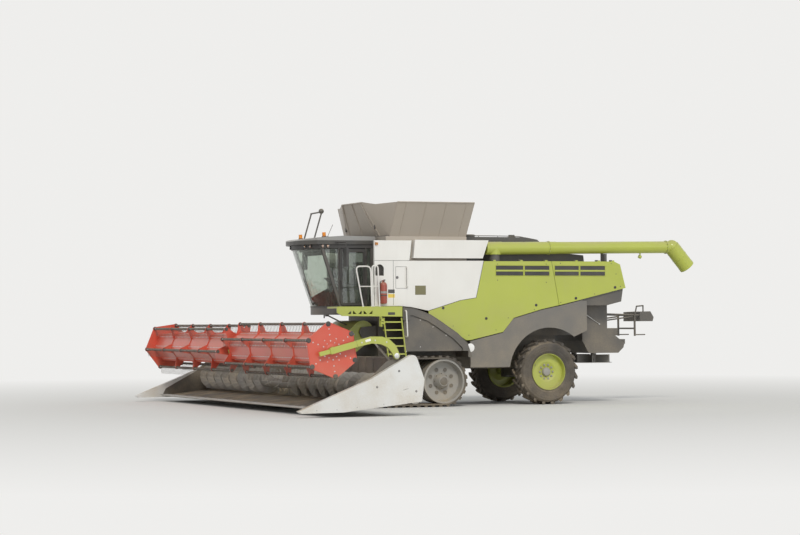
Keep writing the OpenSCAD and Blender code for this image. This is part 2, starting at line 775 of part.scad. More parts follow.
// Swinging unloading tube: housing over the pivot, two tube sections, lamp and spout
module unloading_tube() color(lime) at_origin() translate([tube_pivot_x, tube_y, tube_z]) {
    difference() {
        union() {
            translate([0, 0, 1 - tube_r]) cylinder(r = tube_r + 6, h = tube_r - 1);
            rotate([0, -90 + tube_rise, 0]) translate([0, 0, -tube_nose])
                cylinder(r = tube_r + 6, h = tube_nose + 180);
        }
        translate([0, 0, -tube_r - 10]) cylinder(r = turret_pin_r + fit, h = 115);
        translate([-300, -300, -tube_r - 299]) cube([600, 600, 300]);
    }
    rotate([0, -90 + tube_rise, 0]) {
        translate([0, 0, 100]) cylinder(r = tube_r, h = 1500);
        translate([0, 0, 1400]) cylinder(r = tube_r + 14, h = 30);
        translate([0, 0, 1430]) cylinder(r = tube_r - 6, h = tube_l - 1430);
        translate([0, 0, tube_l - 180]) cylinder(r = tube_r + 12, h = 24);
        translate([0, 0, tube_l - 60]) cylinder(r = tube_r + 8, h = 24);
    }
    translate([-tube_lamp, 0, tube_lamp * sin(tube_rise) - tube_r + 8]) {
        box([-12, -12, -70], [12, 12, 0]);
        translate([-20, 0, -95]) rotate([0, 70, 0]) cylinder(r = 42, h = 60);
    }
    translate([-tube_l, 0, tube_l * sin(tube_rise)]) {
        difference() {
            union() {
                sphere(r = spout_r - 14);
                rotate([0, -90 - spout_drop, 0]) cylinder(r = spout_r, h = spout_l);
            }
            rotate([0, -90 - spout_drop, 0]) translate([0, 0, 60]) cylinder(r = spout_r - 8, h = spout_l);
        }
    }
}

// Plan of the cab with a bowed front: corners at x, middle further forward by bow
module cab_plan(x, bow, half, back = cab_back) {
    r = (half * half + bow * bow) / (2 * bow);
    a = asin(half / r);
    polygon(concat([[back, half], [back, -half]], arc(x + bow - r, 0, r, -a, a, 10)));
}

// A bowed sheet between a lower and an upper arc, thickened forwards
module bowed_sheet(x0, bow0, half0, z0, x1, bow1, half1, z1, t, n = 12) {
    rows = [for (row = [[x0, bow0, half0, z0], [x1, bow1, half1, z1]])
        let (r = (row[2] * row[2] + row[1] * row[1]) / (2 * row[1]), a = asin(row[2] / r))
        [for (i = [0:n]) let (b = -a + 2 * a * i / n)
            [row[0] + row[1] - r + r * cos(b), r * sin(b), row[3]]]];
    m = n + 1;
    polyhedron([for (d = [0, t], row = rows, p = row) p + [d, 0, 0]], concat(
        [for (i = [0:n - 1]) each [[i, i + 1, m + i + 1], [i, m + i + 1, m + i],
                                   [2 * m + i, 3 * m + i + 1, 2 * m + i + 1],
                                   [2 * m + i, 3 * m + i, 3 * m + i + 1],
                                   [i, 2 * m + i + 1, i + 1], [i, 2 * m + i, 2 * m + i + 1],
                                   [m + i, m + i + 1, 3 * m + i + 1],
                                   [m + i, 3 * m + i + 1, 3 * m + i]]],
        [[0, m, 3 * m], [0, 3 * m, 2 * m], [n, 2 * m + n, 3 * m + n], [n, 3 * m + n, m + n]]));
}

// Height of the rear edge of a front pillar at x
function pillar_rear(x) = cab_sill + (x + 60 - pillar_foot) * (cab_roof_z - cab_sill)
    / (pillar_head - pillar_foot);

// Cab floor, pillars, door posts, rear wall with its window, and the blocks that mount it
module cab_frame() color(dark_grey) at_origin() {
    translate([0, 0, cab_floor_z]) linear_extrude(cab_sill - cab_floor_z)
        cab_plan(pillar_foot + 12, foot_bow, cab_half);
    both_sides() {
        slab(cab_half - pillar_t, cab_half)
            polygon([[pillar_foot - 60, cab_sill], [pillar_foot, cab_sill],
                     [pillar_head, cab_roof_z], [pillar_head - 60, cab_roof_z]]);
        slab(cab_half - pillar_t, cab_half) translate([cab_back, cab_sill])
            square([pillar_t, cab_roof_z - cab_sill]);
        box([housing_front, 300, cab_floor_z], [cab_back, 700, cab_floor_z + 160]);
    }
    slab(cab_half - pillar_t, cab_half) {
        translate([door_hinge_x - 50, cab_sill]) square([40, cab_roof_z - cab_sill]);
        polygon([[door_front - 15, pillar_rear(door_front - 15) - 20],
                 [door_front + 25, pillar_rear(door_front + 25) - 20],
                 [door_front + 25, cab_roof_z], [door_front - 15, cab_roof_z]]);
    }
    difference() {
        box([cab_back, -cab_half + 1, cab_sill], [cab_back + 40, cab_half - 1, cab_roof_z]);
        box([cab_back - 1, -620, rear_window[0]], [cab_back + 41, 620, rear_window[1]]);
    }
    for (z = door_hinges) {
        difference() {
            union() {
                box([door_axis_x - 14, cab_half - 5, z - 20], [door_hinge_x - 10, door_axis_y, z - 5]);
                translate([door_axis_x, door_axis_y, z - 20]) cylinder(r = 14, h = 15);
            }
            box([door_axis_x + 11, cab_half, z - 21], [door_hinge_x, door_axis_y + 20, z]);
        }
        translate([door_axis_x, door_axis_y, z - 6]) cylinder(r = hinge_r, h = 80);
    }
}

// Cab roof with its forward visor
module cab_roof() color(mid_grey) at_origin() {
    intersection() {
        slab(-cab_half - 35, cab_half + 35)
            polygon([[cab_back - 40, visor_z], [visor_x + 330, visor_z], [visor_x + 370, 3860],
                     [visor_x + 270, 3890], [visor_x - 60, 3950], [1300, 3990],
                     [cab_back - 40, 3975]]);
        translate([0, 0, visor_z - 1]) linear_extrude(400)
            cab_plan(visor_x, visor_bow, cab_half + 35, cab_back - 40);
    }
    translate([0, 0, cab_roof_z]) linear_extrude(visor_z - cab_roof_z + 1)
        cab_plan(band_x, head_bow, cab_half + 4, cab_back);
}

// Windscreen, fixed side panes and rear window
module cab_glass() color(glass_tint) at_origin() {
    bowed_sheet(pillar_foot + 1, foot_bow, cab_half, cab_sill, pillar_head + 1, head_bow, cab_half,
                cab_roof_z, glass_t);
    mirror([0, 1, 0]) slab(cab_half - glass_t - 10, cab_half - 10)
        polygon([[cab_back + pillar_t, cab_sill], [pillar_foot - 60, cab_sill],
                 [pillar_head - 60, cab_roof_z], [cab_back + pillar_t, cab_roof_z]]);
    slab(cab_half - glass_t - 10, cab_half - 10) {
        translate([cab_back + pillar_t, cab_sill])
            square([door_hinge_x - 50 - cab_back - pillar_t, cab_roof_z - cab_sill]);
        polygon([[door_front + 25, pillar_rear(door_front + 25)], [pillar_head - 60, cab_roof_z],
                 [door_front + 25, cab_roof_z]]);
    }
    box([cab_back + 16, -620, rear_window[0]], [cab_back + 24, 620, rear_window[1]]);
}

// Outline of the cab door, drawn as [x, z]
door_line = [[door_hinge_x, door_foot], [pillar_foot - 35, door_foot],
             [door_front, door_foot + 106], [door_front, cab_roof_z - 20],
             [door_hinge_x, cab_roof_z - 20]];

// Cab door frame with its hinge barrels and handle
module cab_door() color(black) at_origin() {
    slab(cab_half + 3, cab_half + 3 + door_t) difference() {
        polygon(door_line);
        polygon(inset(door_line, 55));
    }
    for (z = door_hinges) difference() {
        union() {
            translate([door_axis_x, door_axis_y, z]) cylinder(r = 14, h = 80);
            box([door_axis_x, door_axis_y - 14, z], [door_hinge_x + 5, door_axis_y, z + 80]);
        }
        translate([door_axis_x, door_axis_y, z - 1]) cylinder(r = hinge_r + fit, h = 82);
    }
    box([door_front - 45, door_axis_y - 1, cab_sill + 410],
        [door_front - 15, door_axis_y + 30, cab_sill + 620]);
}

// Pane of the cab door
module cab_door_glass() color(glass_tint) at_origin()
    slab(cab_half + 12, cab_half + 12 + glass_t) polygon(inset(door_line, 55));

// Operator seat on its pedestal, with cushion, backrest and armrest
module operator_seat() color(black) at_origin() translate([0, 0, cab_sill]) {
    box([800, -180, 0], [1000, 180, 232]);
    slab(-260, 260) polygon([[690, 220], [1130, 240], [1150, 300], [1110, 340], [690, 320]]);
    slab(-250, 250) polygon([[640, 260], [690, 220], [700, 340], [740, 360], [690, 910],
                             [610, 930], [590, 860]]);
    slab(-190, 190) polygon([[600, 930], [680, 920], [670, 1080], [610, 1080]]);
}

// Steering column and wheel, and the control console on the right
module cab_controls() color(black) at_origin() translate([0, 0, cab_sill]) {
    translate([1350, 0, 0]) cylinder(r = 75, h = 20);
    round_bar([1350, 0, 12], [1234, 0, 610], 45);
    translate([wheel_hub_x, 0, 610]) rotate([0, -24, 0]) rotate_extrude()
        translate([185, 0]) circle(r = 14);
    translate([wheel_hub_x, 0, 610]) rotate([0, -24, 0]) translate([0, 0, -8]) {
        cylinder(r = 60, h = 16);
        for (a = [90, 210, 330]) rotate([0, 0, a]) translate([0, -12, 0]) cube([178, 24, 10]);
    }
    box([700, -520, 0], [1120, -300, 420]);
    box([1080, -560, 500], [1110, -300, 700]);
    round_bar([1095, -430, 415], [1095, -430, 505], 14);
}

// Walkway beside the cab with its punched fascia and the brackets of the ladder
module platform() color(lime) at_origin() translate([0, 0, platform_z]) {
    box([platform_back, cab_half + 5, -40], [platform_front - 60, platform_out, 0]);
    slab(platform_out - 40, platform_out) difference() {
        polygon([[platform_back, -235], [1640, -215], [platform_front, -140],
                 [platform_front, 0], [platform_back, 0]]);
        for (i = [0:4]) translate([900 + i * 130, -170]) polygon([[0, 0], [90, 0], [i % 2 * 90, 80]]);
    }
    box([platform_back, housing_half, -120], [housing_front - 40, cab_half + 40, -39]);
    for (z = ladder_pin_z) translate([0, 0, z - platform_z]) difference() {
        box([ladder_x - 25, platform_out - 45, 0], [ladder_x + 25, ladder_y + 25, 25]);
        translate([ladder_x, ladder_y, -1]) cylinder(r = ladder_pin_r + fit, h = 27);
    }
    box([ladder_x - 25, platform_out - 40, -440], [ladder_x + 25, platform_out - 1, -210]);
    box([cab_back + 50, cab_half - 150, -215],
        [pillar_foot - 200, platform_out - 20, cab_floor_z - platform_z]);
}

// Ladder with five steps, hung on an upright pin under the platform
module ladder() color(lime) at_origin() translate([0, 0, platform_z]) {
    for (x = [ladder_x - 60, ladder_rear])
        round_bar([x, ladder_y, -265], [x - ladder_lean, ladder_y, -1150], 17);
    for (i = [0:4]) let (z = -350 - i * 185, d = (-265 - z) / 885 * ladder_lean)
        slab(ladder_y - 130, ladder_y)
            polygon([[ladder_rear - d, z - 25], [ladder_x - 60 - d, z - 25],
                     [ladder_x - 60 - d, z + 5], [ladder_rear - d, z + 5]]);
    translate([ladder_x, ladder_y, -470]) cylinder(r = ladder_pin_r, h = 240);
    box([ladder_x - 60, ladder_y - 8, -340], [ladder_x - ladder_pin_r + 4, ladder_y + 8, -290]);
    box([ladder_x - 75, ladder_y - 8, -410], [ladder_x - ladder_pin_r + 4, ladder_y + 8, -360]);
}

// White tube handrails on the platform and the front panel
module handrails() color(off_white) at_origin() {
    translate([0, rail_line_y, platform_z]) {
        tube_u([1290, 0, 4], [1370, 0, 910], [1000, 0, 910], [930, 0, 4]);
        tube_u([870, 0, 4], [900, 0, 950], [760, 0, 950], [730, 0, 4]);
        round_bar([970, 0, 460], [770, 0, 460], 14);
        for (x = [1290, 930, 870, 730]) translate([x, 0, 0]) cylinder(r = 26, h = 8);
    }
    both_sides() tube_u([-30, side_half, 2790], [-30, side_half + 60, 2790],
                        [-30, side_half + 60, 3240], [-30, side_half, 3240]);
    tube_u([90, fender_out, 2240], [90, fender_out + 70, 2240], [60, fender_out + 70, 1640],
           [60, fender_out - 39, 1640]);
}

// A bent tube through four points with ball corners
module tube_u(a, b, c, d) {
    round_bar(a, b, handrail_r);
    round_bar(b, c, handrail_r);
    round_bar(c, d, handrail_r);
    for (p = [b, c]) translate(p) sphere(r = handrail_r + 1);
}

// Fire extinguisher in its bracket on the left front panel
module fire_extinguisher() color(reel_red) at_origin() translate([580, side_half + 82, 0]) {
    translate([0, 0, 2400]) cylinder(r = 75, h = 430);
    translate([0, 0, 2830]) cylinder(r1 = 75, r2 = 30, h = 50);
    translate([0, 0, 2880]) cylinder(r = 22, h = 70);
    box([-40, -82, 2560], [40, -60, 2600]);
}

// Mirrors on arms from the roof edge
module cab_mirrors() color(black) at_origin() both_sides() {
    box([1450, cab_half + 35, 3810], [1510, cab_half + 50, 3850]);
    round_bar([1480, cab_half + 42, 3830], [mirror_x + 28, mirror_y, 3830], 14);
    round_bar([mirror_x + 28, mirror_y, 3840], [mirror_x + 28, mirror_y, 3690], 14);
    box([mirror_x, mirror_y - 110, 3250], [mirror_x + 55, mirror_y + 110, 3700]);
}

// Work lamps under the visor, rear lamps, and the two amber warning lamps on the left
module lamps() color(amber) at_origin() {
    r = (pow(cab_half + 4, 2) + head_bow * head_bow) / (2 * head_bow);
    step = asin((cab_half + 4) / r) / 5;
    both_sides() {
        for (i = [2.5, 3.5]) translate([band_x + head_bow - r, 0, lamp_z])
            rotate([0, 90, i * step]) translate([0, 0, r * cos(step / 2)]) cylinder(r = 36, h = 25);
        for (x = [band_x - 60, band_x - 190]) translate([x, cab_half + 4, lamp_z])
            rotate([-90, 0, 0]) cylinder(r = 36, h = 25);
        translate([1720, 800, 3962]) rotate([0, 3.81, 0]) {
            cylinder(r = 55, h = 20);
            cylinder(r = 42, h = 110);
        }
        box([690, side_half, 3760], [750, side_half + 40, 3820]);
        slab(1180, 1380) polygon([for (p = [[0, 2900], [0, 3020], [-50, 3020], [-50, 2900]])
            [hood_rear(p[1]) + p[0], p[1]]]);
    }
}

// Tubular aerial frame with its receiver, and the whip aerial
module roof_aerials() color(dark_grey) at_origin() {
    for (y = [-740, -40]) {
        translate([1650, y, roof_top(1650) + touch]) rotate([0, 3.81, 0]) cylinder(r = 30, h = 10);
        round_bar([1650, y, roof_top(1650) + 7], [1470, y, 4570], 18);
    }
    round_bar([1470, -770, 4570], [1470, -10, 4585], 18);
    translate([1470, -60, 4600]) sphere(r = 62);
    translate([1560, 600, roof_top(1560) + touch]) rotate([0, 3.81, 0]) cylinder(r = 22, h = 12);
    round_bar([1560, 600, roof_top(1560) + 6], [1430, 600, 4260], 6);
}

// Side profile of the feeder casing
module feeder_profile() polygon([[feeder_nose, feeder_low], [feeder_nose, feeder_high],
    [lift_x + feeder_drum_r * cos(65), lift_z + feeder_drum_r * sin(65)], [lift_x, lift_z],
    [lift_x + feeder_drum_r * cos(231), lift_z + feeder_drum_r * sin(231)]]);

// Height of the underside of the feeder casing at x
function feeder_under(x) = feeder_low + (feeder_nose - x)
    * (lift_z + feeder_drum_r * sin(231) - feeder_low)
    / (feeder_nose - lift_x - feeder_drum_r * cos(231));

// Feeder house: drum on the lift pivot, tapering casing, and a mouth framed by five plates
module feeder_house() color(lime) at_origin() {
    difference() {
        union() {
            pin_y(lift_x, lift_z, feeder_drum_r, -feeder_half, feeder_half);
            slab(-feeder_half, feeder_half) intersection() {
                feeder_profile();
                square([mouth_back, 3000]);
            }
        }
        both_sides() pin_y(lift_x, lift_z, lift_pin_r + fit, feeder_half - 62, feeder_half + 1);
    }
    slab(-feeder_half, feeder_half)
        polygon([[mouth_back, feeder_low], [mouth_back, feeder_under(mouth_back) - 2 * fit],
                 [mouth_back - 60, feeder_under(mouth_back - 60) - 2 * fit],
                 [mouth_back - 50, feeder_low]]);
    slab(-mouth_half, mouth_half) translate([mouth_back + fit, feeder_low])
        square([feeder_nose - mouth_back - fit, mouth_low - feeder_low]);
    slab(-mouth_half, mouth_half) intersection() {
        feeder_profile();
        translate([mouth_back + fit, mouth_high]) square([500, 2000]);
    }
    both_sides() {
        slab(mouth_half + fit, feeder_half) union() {
            translate([mouth_back + fit, feeder_low])
                square([feeder_nose - mouth_back - fit, feeder_high - feeder_low]);
            intersection() {
                feeder_profile();
                translate([mouth_back + fit, feeder_low]) square([500, 2000]);
            }
        }
        for (y = [lift_y - lift_gap - lug_t, lift_y + lift_gap])
            slab(y, y + lug_t)
                polygon([[lift_eye_x - 140, 980], [lift_eye_x - 60, lift_eye_z - 20],
                         [lift_eye_x, lift_eye_z - 45], [lift_eye_x + 60, lift_eye_z - 10],
                         [lift_eye_x + 150, 790]]);
        pin_y(lift_eye_x, lift_eye_z, rod_pin_r, lift_y - lift_gap, lift_y + lift_gap);
    }
}

// Height of the underside of the header floor at x
function floor_under(x) = 230 - (x - wall_x - 70) * (275 - knife_z) / (knife_x - wall_x - 80);

// A length of the auger trough
module trough(y0, y1) slab(y0, y1) difference() {
    polygon([[wall_x, auger_z], [wall_x, 250], [wall_x + 70, 230],
             [floor_seam - fit, floor_under(floor_seam)],
             [floor_seam - fit, auger_z - trough_r + 2], [auger_x, auger_z]]);
    translate([auger_x, auger_z]) circle(r = trough_r);
}

// Top beam and lower beam of the header between two stations across it
module header_beams(y0, y1) {
    slab(y0, y1) translate([wall_x - 100, tube_foot]) square([101, wall_top - tube_foot]);
    slab(y0, y1) translate([wall_x - 180, 250]) square([180 - fit, feeder_low - 260]);
}

// Header frame: floor, auger trough, back wall, beams, posts, arm lugs and end walls
module header_frame() color(dark_grey) at_origin() {
    end_seam = half_w - end_wall_t - fit;
    slab(-end_seam, end_seam)
        polygon([[floor_seam, floor_under(floor_seam)], [knife_x - 10, knife_z - 45],
                 [knife_x - 10, knife_z - 8], [knife_x - 60, knife_z - 8],
                 [floor_seam, auger_z - trough_r + 2]]);
    difference() {
        trough(-mouth_half, mouth_half);
        box([wall_x - 1, -mouth_half - 1, mouth_low], [wall_x + 200, mouth_half + 1, auger_z + 1]);
    }
    difference() {
        union() {
            header_beams(-mouth_half, mouth_half);
            slab(-mouth_half, mouth_half) translate([wall_x, mouth_high - 30])
                square([30, wall_top - mouth_high + 30]);
        }
        box([wall_x - 101, -arm_t / 2 - 5, wall_top - arm_notch],
            [wall_x + 31, arm_t / 2 + 5, wall_top + 1]);
    }
    pin_y(arm_pivot_x, arm_pivot_z, arm_pin_r, -arm_t / 2 - 30, arm_t / 2 + 30);
    both_sides() {
        slab(arm_t / 2 + 5, arm_t / 2 + 30) arm_lug_outline();
        trough(mouth_half + fit, end_seam);
        header_beams(mouth_half + fit, end_seam);
        slab(mouth_half + fit, end_seam) translate([wall_x, auger_z + fit])
            square([30, wall_top - auger_z - fit]);
        for (i = [0:4]) let (y = 900 + i * (half_w - 1000) / 4)
            box([wall_x - 60, y, feeder_low - 11], [wall_x - fit, y + 60, tube_foot + 1]);
        difference() {
            slab(half_w - end_wall_t, half_w)
                polygon([[wall_x - 180, 250], [3300, 122], [knife_x + 60, 140],
                         [knife_x - 30, 320], [2700, 760], [2250, 1170], [wall_x - 150, 1170]]);
            pin_y(auger_x, auger_z, auger_shaft_r + fit, half_w - end_wall_t - 1, half_w - 2);
        }
        slab(arm_y - arm_t / 2 - 30, arm_y - arm_t / 2 - 5) arm_lug_outline();
        pin_y(arm_pivot_x, arm_pivot_z, arm_pin_r, arm_y - arm_t / 2 - 30, arm_y + arm_t / 2);
        for (y = [[arm_rod_y - 45, arm_rod_y - 30], [arm_rod_y + 30, end_seam]]) slab(y[0], y[1])
            polygon([[wall_x + 29, arm_base_z - 60], [arm_base_x + 30, arm_base_z - 25],
                     [arm_base_x + 30, arm_base_z + 25], [wall_x + 29, arm_base_z + 60]]);
        pin_y(arm_base_x, arm_base_z, 15, arm_rod_y - 45, end_seam);
    }
}

// Lug on the top beam that holds the pivot of a reel arm
module arm_lug_outline() polygon([[wall_x - 95, wall_top - 1], [wall_x, wall_top - 1],
    [arm_pivot_x + 45, arm_pivot_z], [arm_pivot_x + 30, arm_pivot_z + 40],
    [arm_pivot_x - 30, arm_pivot_z + 40]]);

// End dividers: a rounded drive cover that runs forward into a pointed nose
module header_dividers() color(off_white) at_origin() both_sides()
    slab(half_w, side_y)
        polygon(concat([[1530, 300], [3300, 105], [nose_x - 70, 95], [nose_x, 140], [2660, 800]],
                       arc(1745, 1165, 120, 60, 165, 6), [[1470, 770]]));

// Knife back with its row of guard fingers
module cutter_bar() color(steel) at_origin() {
    slab(-half_w + 30, half_w - 30) translate([knife_x - 60, knife_z - 8]) square([75, 16]);
    for (i = [0:finger_count - 1])
        translate([knife_x + 14, (i - (finger_count - 1) / 2) * finger_pitch, knife_z - 20])
            linear_extrude(28) polygon([[0, -34], [40, -30], [125, -7], [125, 7], [40, 30], [0, 34]]);
}

// Intake auger tube with its stub shafts and the feeding fingers of the middle part
module auger_tube() color(mid_grey) at_origin() {
    pin_y(auger_x, auger_z, auger_tube_r, -half_w + 30, half_w - 30);
    both_sides() pin_y(auger_x, auger_z, auger_shaft_r, half_w - 31, half_w - 5);
    for (i = [0:15]) translate([auger_x, -600 + 80 * i, auger_z]) rotate([0, 105 * i, 0])
        translate([0, 0, auger_tube_r - 10]) cylinder(r = 9, h = flight_r - auger_tube_r - 5, $fn = 6);
}

// Two opposed flights that bring the crop to the middle
module auger_flights() color(mid_grey) at_origin() both_sides() {
    l = half_w - 35 - mouth_half;
    n = round(l / flight_pitch * flight_steps);
    inner = (auger_tube_r + touch) / cos(180 / flight_steps);
    polyhedron([for (i = [0:n], p = [[inner, 0], [flight_r, 0], [flight_r, 1], [inner, 1]])
            let (a = 360 * i / flight_steps)
            [auger_x + p[0] * cos(a), mouth_half + i * (l - flight_t) / n + p[1] * flight_t,
             auger_z + p[0] * sin(a)]],
        concat([[0, 1, 2, 3], [4 * n + 3, 4 * n + 2, 4 * n + 1, 4 * n]],
            [for (i = [0:n - 1], k = [0:3]) let (p = 4 * i + k, q = 4 * i + (k + 1) % 4)
                each [[p, p + 4, q + 4], [p, q + 4, q]]]));
}

// Moves children drawn along +X to the reel shaft and along the slope of the arms
module on_arm() translate([reel_x, reel_z]) rotate(-arm_slope) children();

// Reel arms: a bent rear part and a straight beam on which the carriage slides
module reel_arms() color(lime) at_origin() {
    for (y = [-arm_y, 0, arm_y]) difference() {
        union() {
            slab(y - arm_t / 2, y + arm_t / 2) polygon([
                [2140, 1270], [2190, 1360], [2280, 1455], [2430, 1520], [2640, 1535], [2948, 1470],
                [2980, 1596], [2640, 1682], [2400, 1678], [2230, 1615], [2090, 1490], [2000, 1290],
                [2005, 1245], [2035, 1210], [2070, 1200], [2105, 1210]]);
            slab(y - beam_t / 2, y + beam_t / 2) on_arm() translate([-560, -45]) square([890, 90]);
        }
        pin_y(arm_pivot_x, arm_pivot_z, arm_pin_r + fit, y - arm_t / 2 - 1, y + arm_t / 2 + 1);
    }
    both_sides() pin_y(arm_eye_x, arm_eye_z, 12, arm_rod_y - 30, arm_y - arm_t / 2 + 1);
}

// Sliding carriages on the arms, with the reel bearings
module reel_carriages() color(lime) at_origin() {
    for (y = [-arm_y, 0, arm_y]) difference() {
        slab(y - 42, y + 42) on_arm() translate([-520, -66]) square([605, 132]);
        slab(y - beam_t / 2 - sleeve_gap, y + beam_t / 2 + sleeve_gap) on_arm()
            translate([-560, -45 - sleeve_gap]) square([760, 90 + 2 * sleeve_gap]);
    }
    both_sides() {
        bearing(arm_y - 42, -1);
        bearing(42, 1);
    }
}

// Reel bearing standing off the side of a carriage at y
module bearing(y, way) difference() {
    pin_y(reel_x, reel_z, 75, min(y, y + way * bearing_l), max(y, y + way * bearing_l));
    pin_y(reel_x, reel_z, shaft_r + fit, min(y, y + way * bearing_l) - 1,
          max(y, y + way * bearing_l) + 1);
}

// The two halves of the reel as [first y, last y, angle of the first bar]
reel_halves = [[reel_gap, reel_end, reel_phase], [-reel_end, -reel_gap, reel_phase + 30]];

// Place of plate i of a reel half
function plate_y(h, i) = h[0] + i * (h[1] - h[0] - plate_t) / (spider_count - 1);

// Reel plates and the six-sided drum between them
module reel_drum() color(reel_red) at_origin() {
    for (h = reel_halves) {
        for (i = [0:spider_count - 1]) slab(plate_y(h, i), plate_y(h, i) + plate_t)
            translate([reel_x, reel_z]) rotate(90 - h[2]) difference() {
                if (abs(plate_y(h, i)) > reel_end - 50) circle(r = bar_circle_r + 52, $fn = 6);
                else spider_outline();
                for (k = [0:5]) rotate(60 * k) translate([bar_circle_r, 0])
                    circle(r = bar_r + touch);
            }
        slab(h[0] + 1, h[1] - 1) translate([reel_x, reel_z]) rotate(90 - h[2]) difference() {
            circle(r = drum_r, $fn = 6);
            circle(r = drum_r - 7, $fn = 6);
        }
    }
    both_sides() {
        pin_y(reel_x, reel_z, shaft_r, arm_t / 2 + 5, reel_gap + 60);
        pin_y(reel_x, reel_z, shaft_r, reel_end - 60, half_w - 4);
    }
}

// Six-armed spider plate
module spider_outline() {
    circle(r = drum_r + 20, $fn = 6);
    for (k = [0:5]) rotate(60 * k)
        polygon([[drum_r - 60, -120], [bar_circle_r + 20, -42], [bar_circle_r + 44, -18],
                 [bar_circle_r + 44, 18], [bar_circle_r + 20, 42], [drum_r - 60, 120]]);
}

// Tine bars of both reel halves with their hanging tines
module reel_tines() color(steel) at_origin() for (h = reel_halves, k = [0:5])
    let (a = h[2] + 60 * k, x = reel_x + bar_circle_r * sin(a), z = reel_z + bar_circle_r * cos(a),
         n = floor((h[1] - h[0] - 200) / tine_pitch)) {
        pin_y(x, z, bar_r, h[0] - 12, h[1] + 12);
        for (i = [0:n]) translate([x, (h[0] + h[1] - n * tine_pitch) / 2 + i * tine_pitch, z])
            rotate([180, 0, 45]) cylinder(r = 7, h = tine_l, $fn = 4);
    }

// Moves children drawn along +Z to the line from p to q, both given as [x, y, z]
module aim(p, q) {
    d = q - p;
    translate(p) rotate([0, acos(d[2] / norm(d)), atan2(d[1], d[0])]) children();
}

// Cylinder barrel from its pinned eye at p towards q, open at the rod end
module barrel(p, q, l, r, rod, pin, half) aim(p, q) difference() {
    union() {
        rotate([90, 0, 0]) translate([0, 0, -half]) cylinder(r = pin + 22, h = 2 * half);
        translate([0, 0, pin]) cylinder(r = r, h = l - pin);
    }
    rotate([90, 0, 0]) translate([0, 0, -half - 1]) cylinder(r = pin + fit, h = 2 * half + 2);
    translate([0, 0, pin + 60]) cylinder(r = rod + fit, h = l);
}

// Cylinder rod that ends in an open eye at q, with room for its pin to drift
module rod(p, q, start, r, pin, drift, half) aim(p, q) difference() {
    l = norm(q - p);
    union() {
        rotate([90, 0, 0]) translate([0, l, -half]) cylinder(r = pin + drift + 17, h = 2 * half);
        translate([0, 0, start]) cylinder(r = r, h = l - start - pin - drift - 4);
    }
    rotate([90, 0, 0]) translate([0, l, -half - 1]) cylinder(r = pin + drift, h = 2 * half + 2);
}

lift_base = [lift_base_x, lift_y, lift_base_z];
lift_eye = [lift_eye_x, lift_y, lift_eye_z];
arm_base = [arm_base_x, arm_rod_y, arm_base_z];
arm_eye = [arm_eye_x, arm_rod_y, arm_eye_z];

// Barrels of the two header lift cylinders
module lift_barrels() color(dark_grey) at_origin() both_sides()
    barrel(lift_base, lift_eye, 930, 55, lift_rod_r, lift_eye_r, lift_gap - 5);

// Rods of the two header lift cylinders
module lift_rods() color(steel) at_origin() both_sides()
    rod(lift_base, lift_eye, 480, lift_rod_r, rod_pin_r, rod_drift, lift_gap - 5);

// Barrels of the reel arm cylinders
module arm_barrels() color(dark_grey) at_origin() both_sides()
    barrel(arm_base, arm_eye, 420, 28, arm_rod_r, 15, 22);

// Rods of the reel arm cylinders
module arm_rods() color(steel) at_origin() both_sides()
    rod(arm_base, arm_eye, 200, arm_rod_r, 12, rod_drift, 22);

main_frame();
rear_axle();
track_frames();
track_wheels();
track_belts();
track_fenders();
body_housing();
base_panels();
front_panels();
tank_panels();
grain_tank();
tank_flaps();
engine_block();
engine_deck();
rear_hood();
chopper_housing();
rear_carrier();
unloading_turret();
cab_frame();
cab_roof();
cab_glass();
operator_seat();
cab_controls();
platform();
handrails();
fire_extinguisher();
cab_mirrors();
lamps();
roof_aerials();
feeder_house();
header_frame();
header_dividers();
cutter_bar();
auger_tube();
auger_flights();
reel_arms();
reel_carriages();
reel_drum();
reel_tines();
lift_barrels();
lift_rods();
arm_barrels();
arm_rods();
cab_door();
cab_door_glass();
unloading_tube();
ladder();
side_door(front_door_line, louvres_front, hinge_front);  // side_door_front_left
side_door(rear_door_line, louvres_rear, hinge_rear);  // side_door_rear_left
mirror([0, 1, 0]) side_door(front_door_line, louvres_front, hinge_front);  // side_door_front_right
mirror([0, 1, 0]) side_door(rear_door_line, louvres_rear, hinge_rear);  // side_door_rear_right
knuckle(1);  // knuckle_left
knuckle(-1);  // knuckle_right
rear_rim(1);  // rear_rim_left
rear_rim(-1);  // rear_rim_right
rear_tyre(1);  // rear_tyre_left
rear_tyre(-1);  // rear_tyre_right
spreader_rotor(1);  // spreader_rotor_left
spreader_rotor(-1);  // spreader_rotor_right
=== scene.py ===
# %% [markdown]
# # A half-track combine harvester, dressed for its picture
# The solids of the machine come from CAD and are already in their places, in metres, with
# +X forward, +Y to the left and +Z up. This file adds what makes the machine look real:
# camera, light, finishes, and the small pieces that a CAD model leaves out.
# Every new piece rides on one of the machine's bodies, so that it moves with its joint.

import json
import math

import bmesh
import bpy
import numpy as np
from mathutils import Matrix, Vector


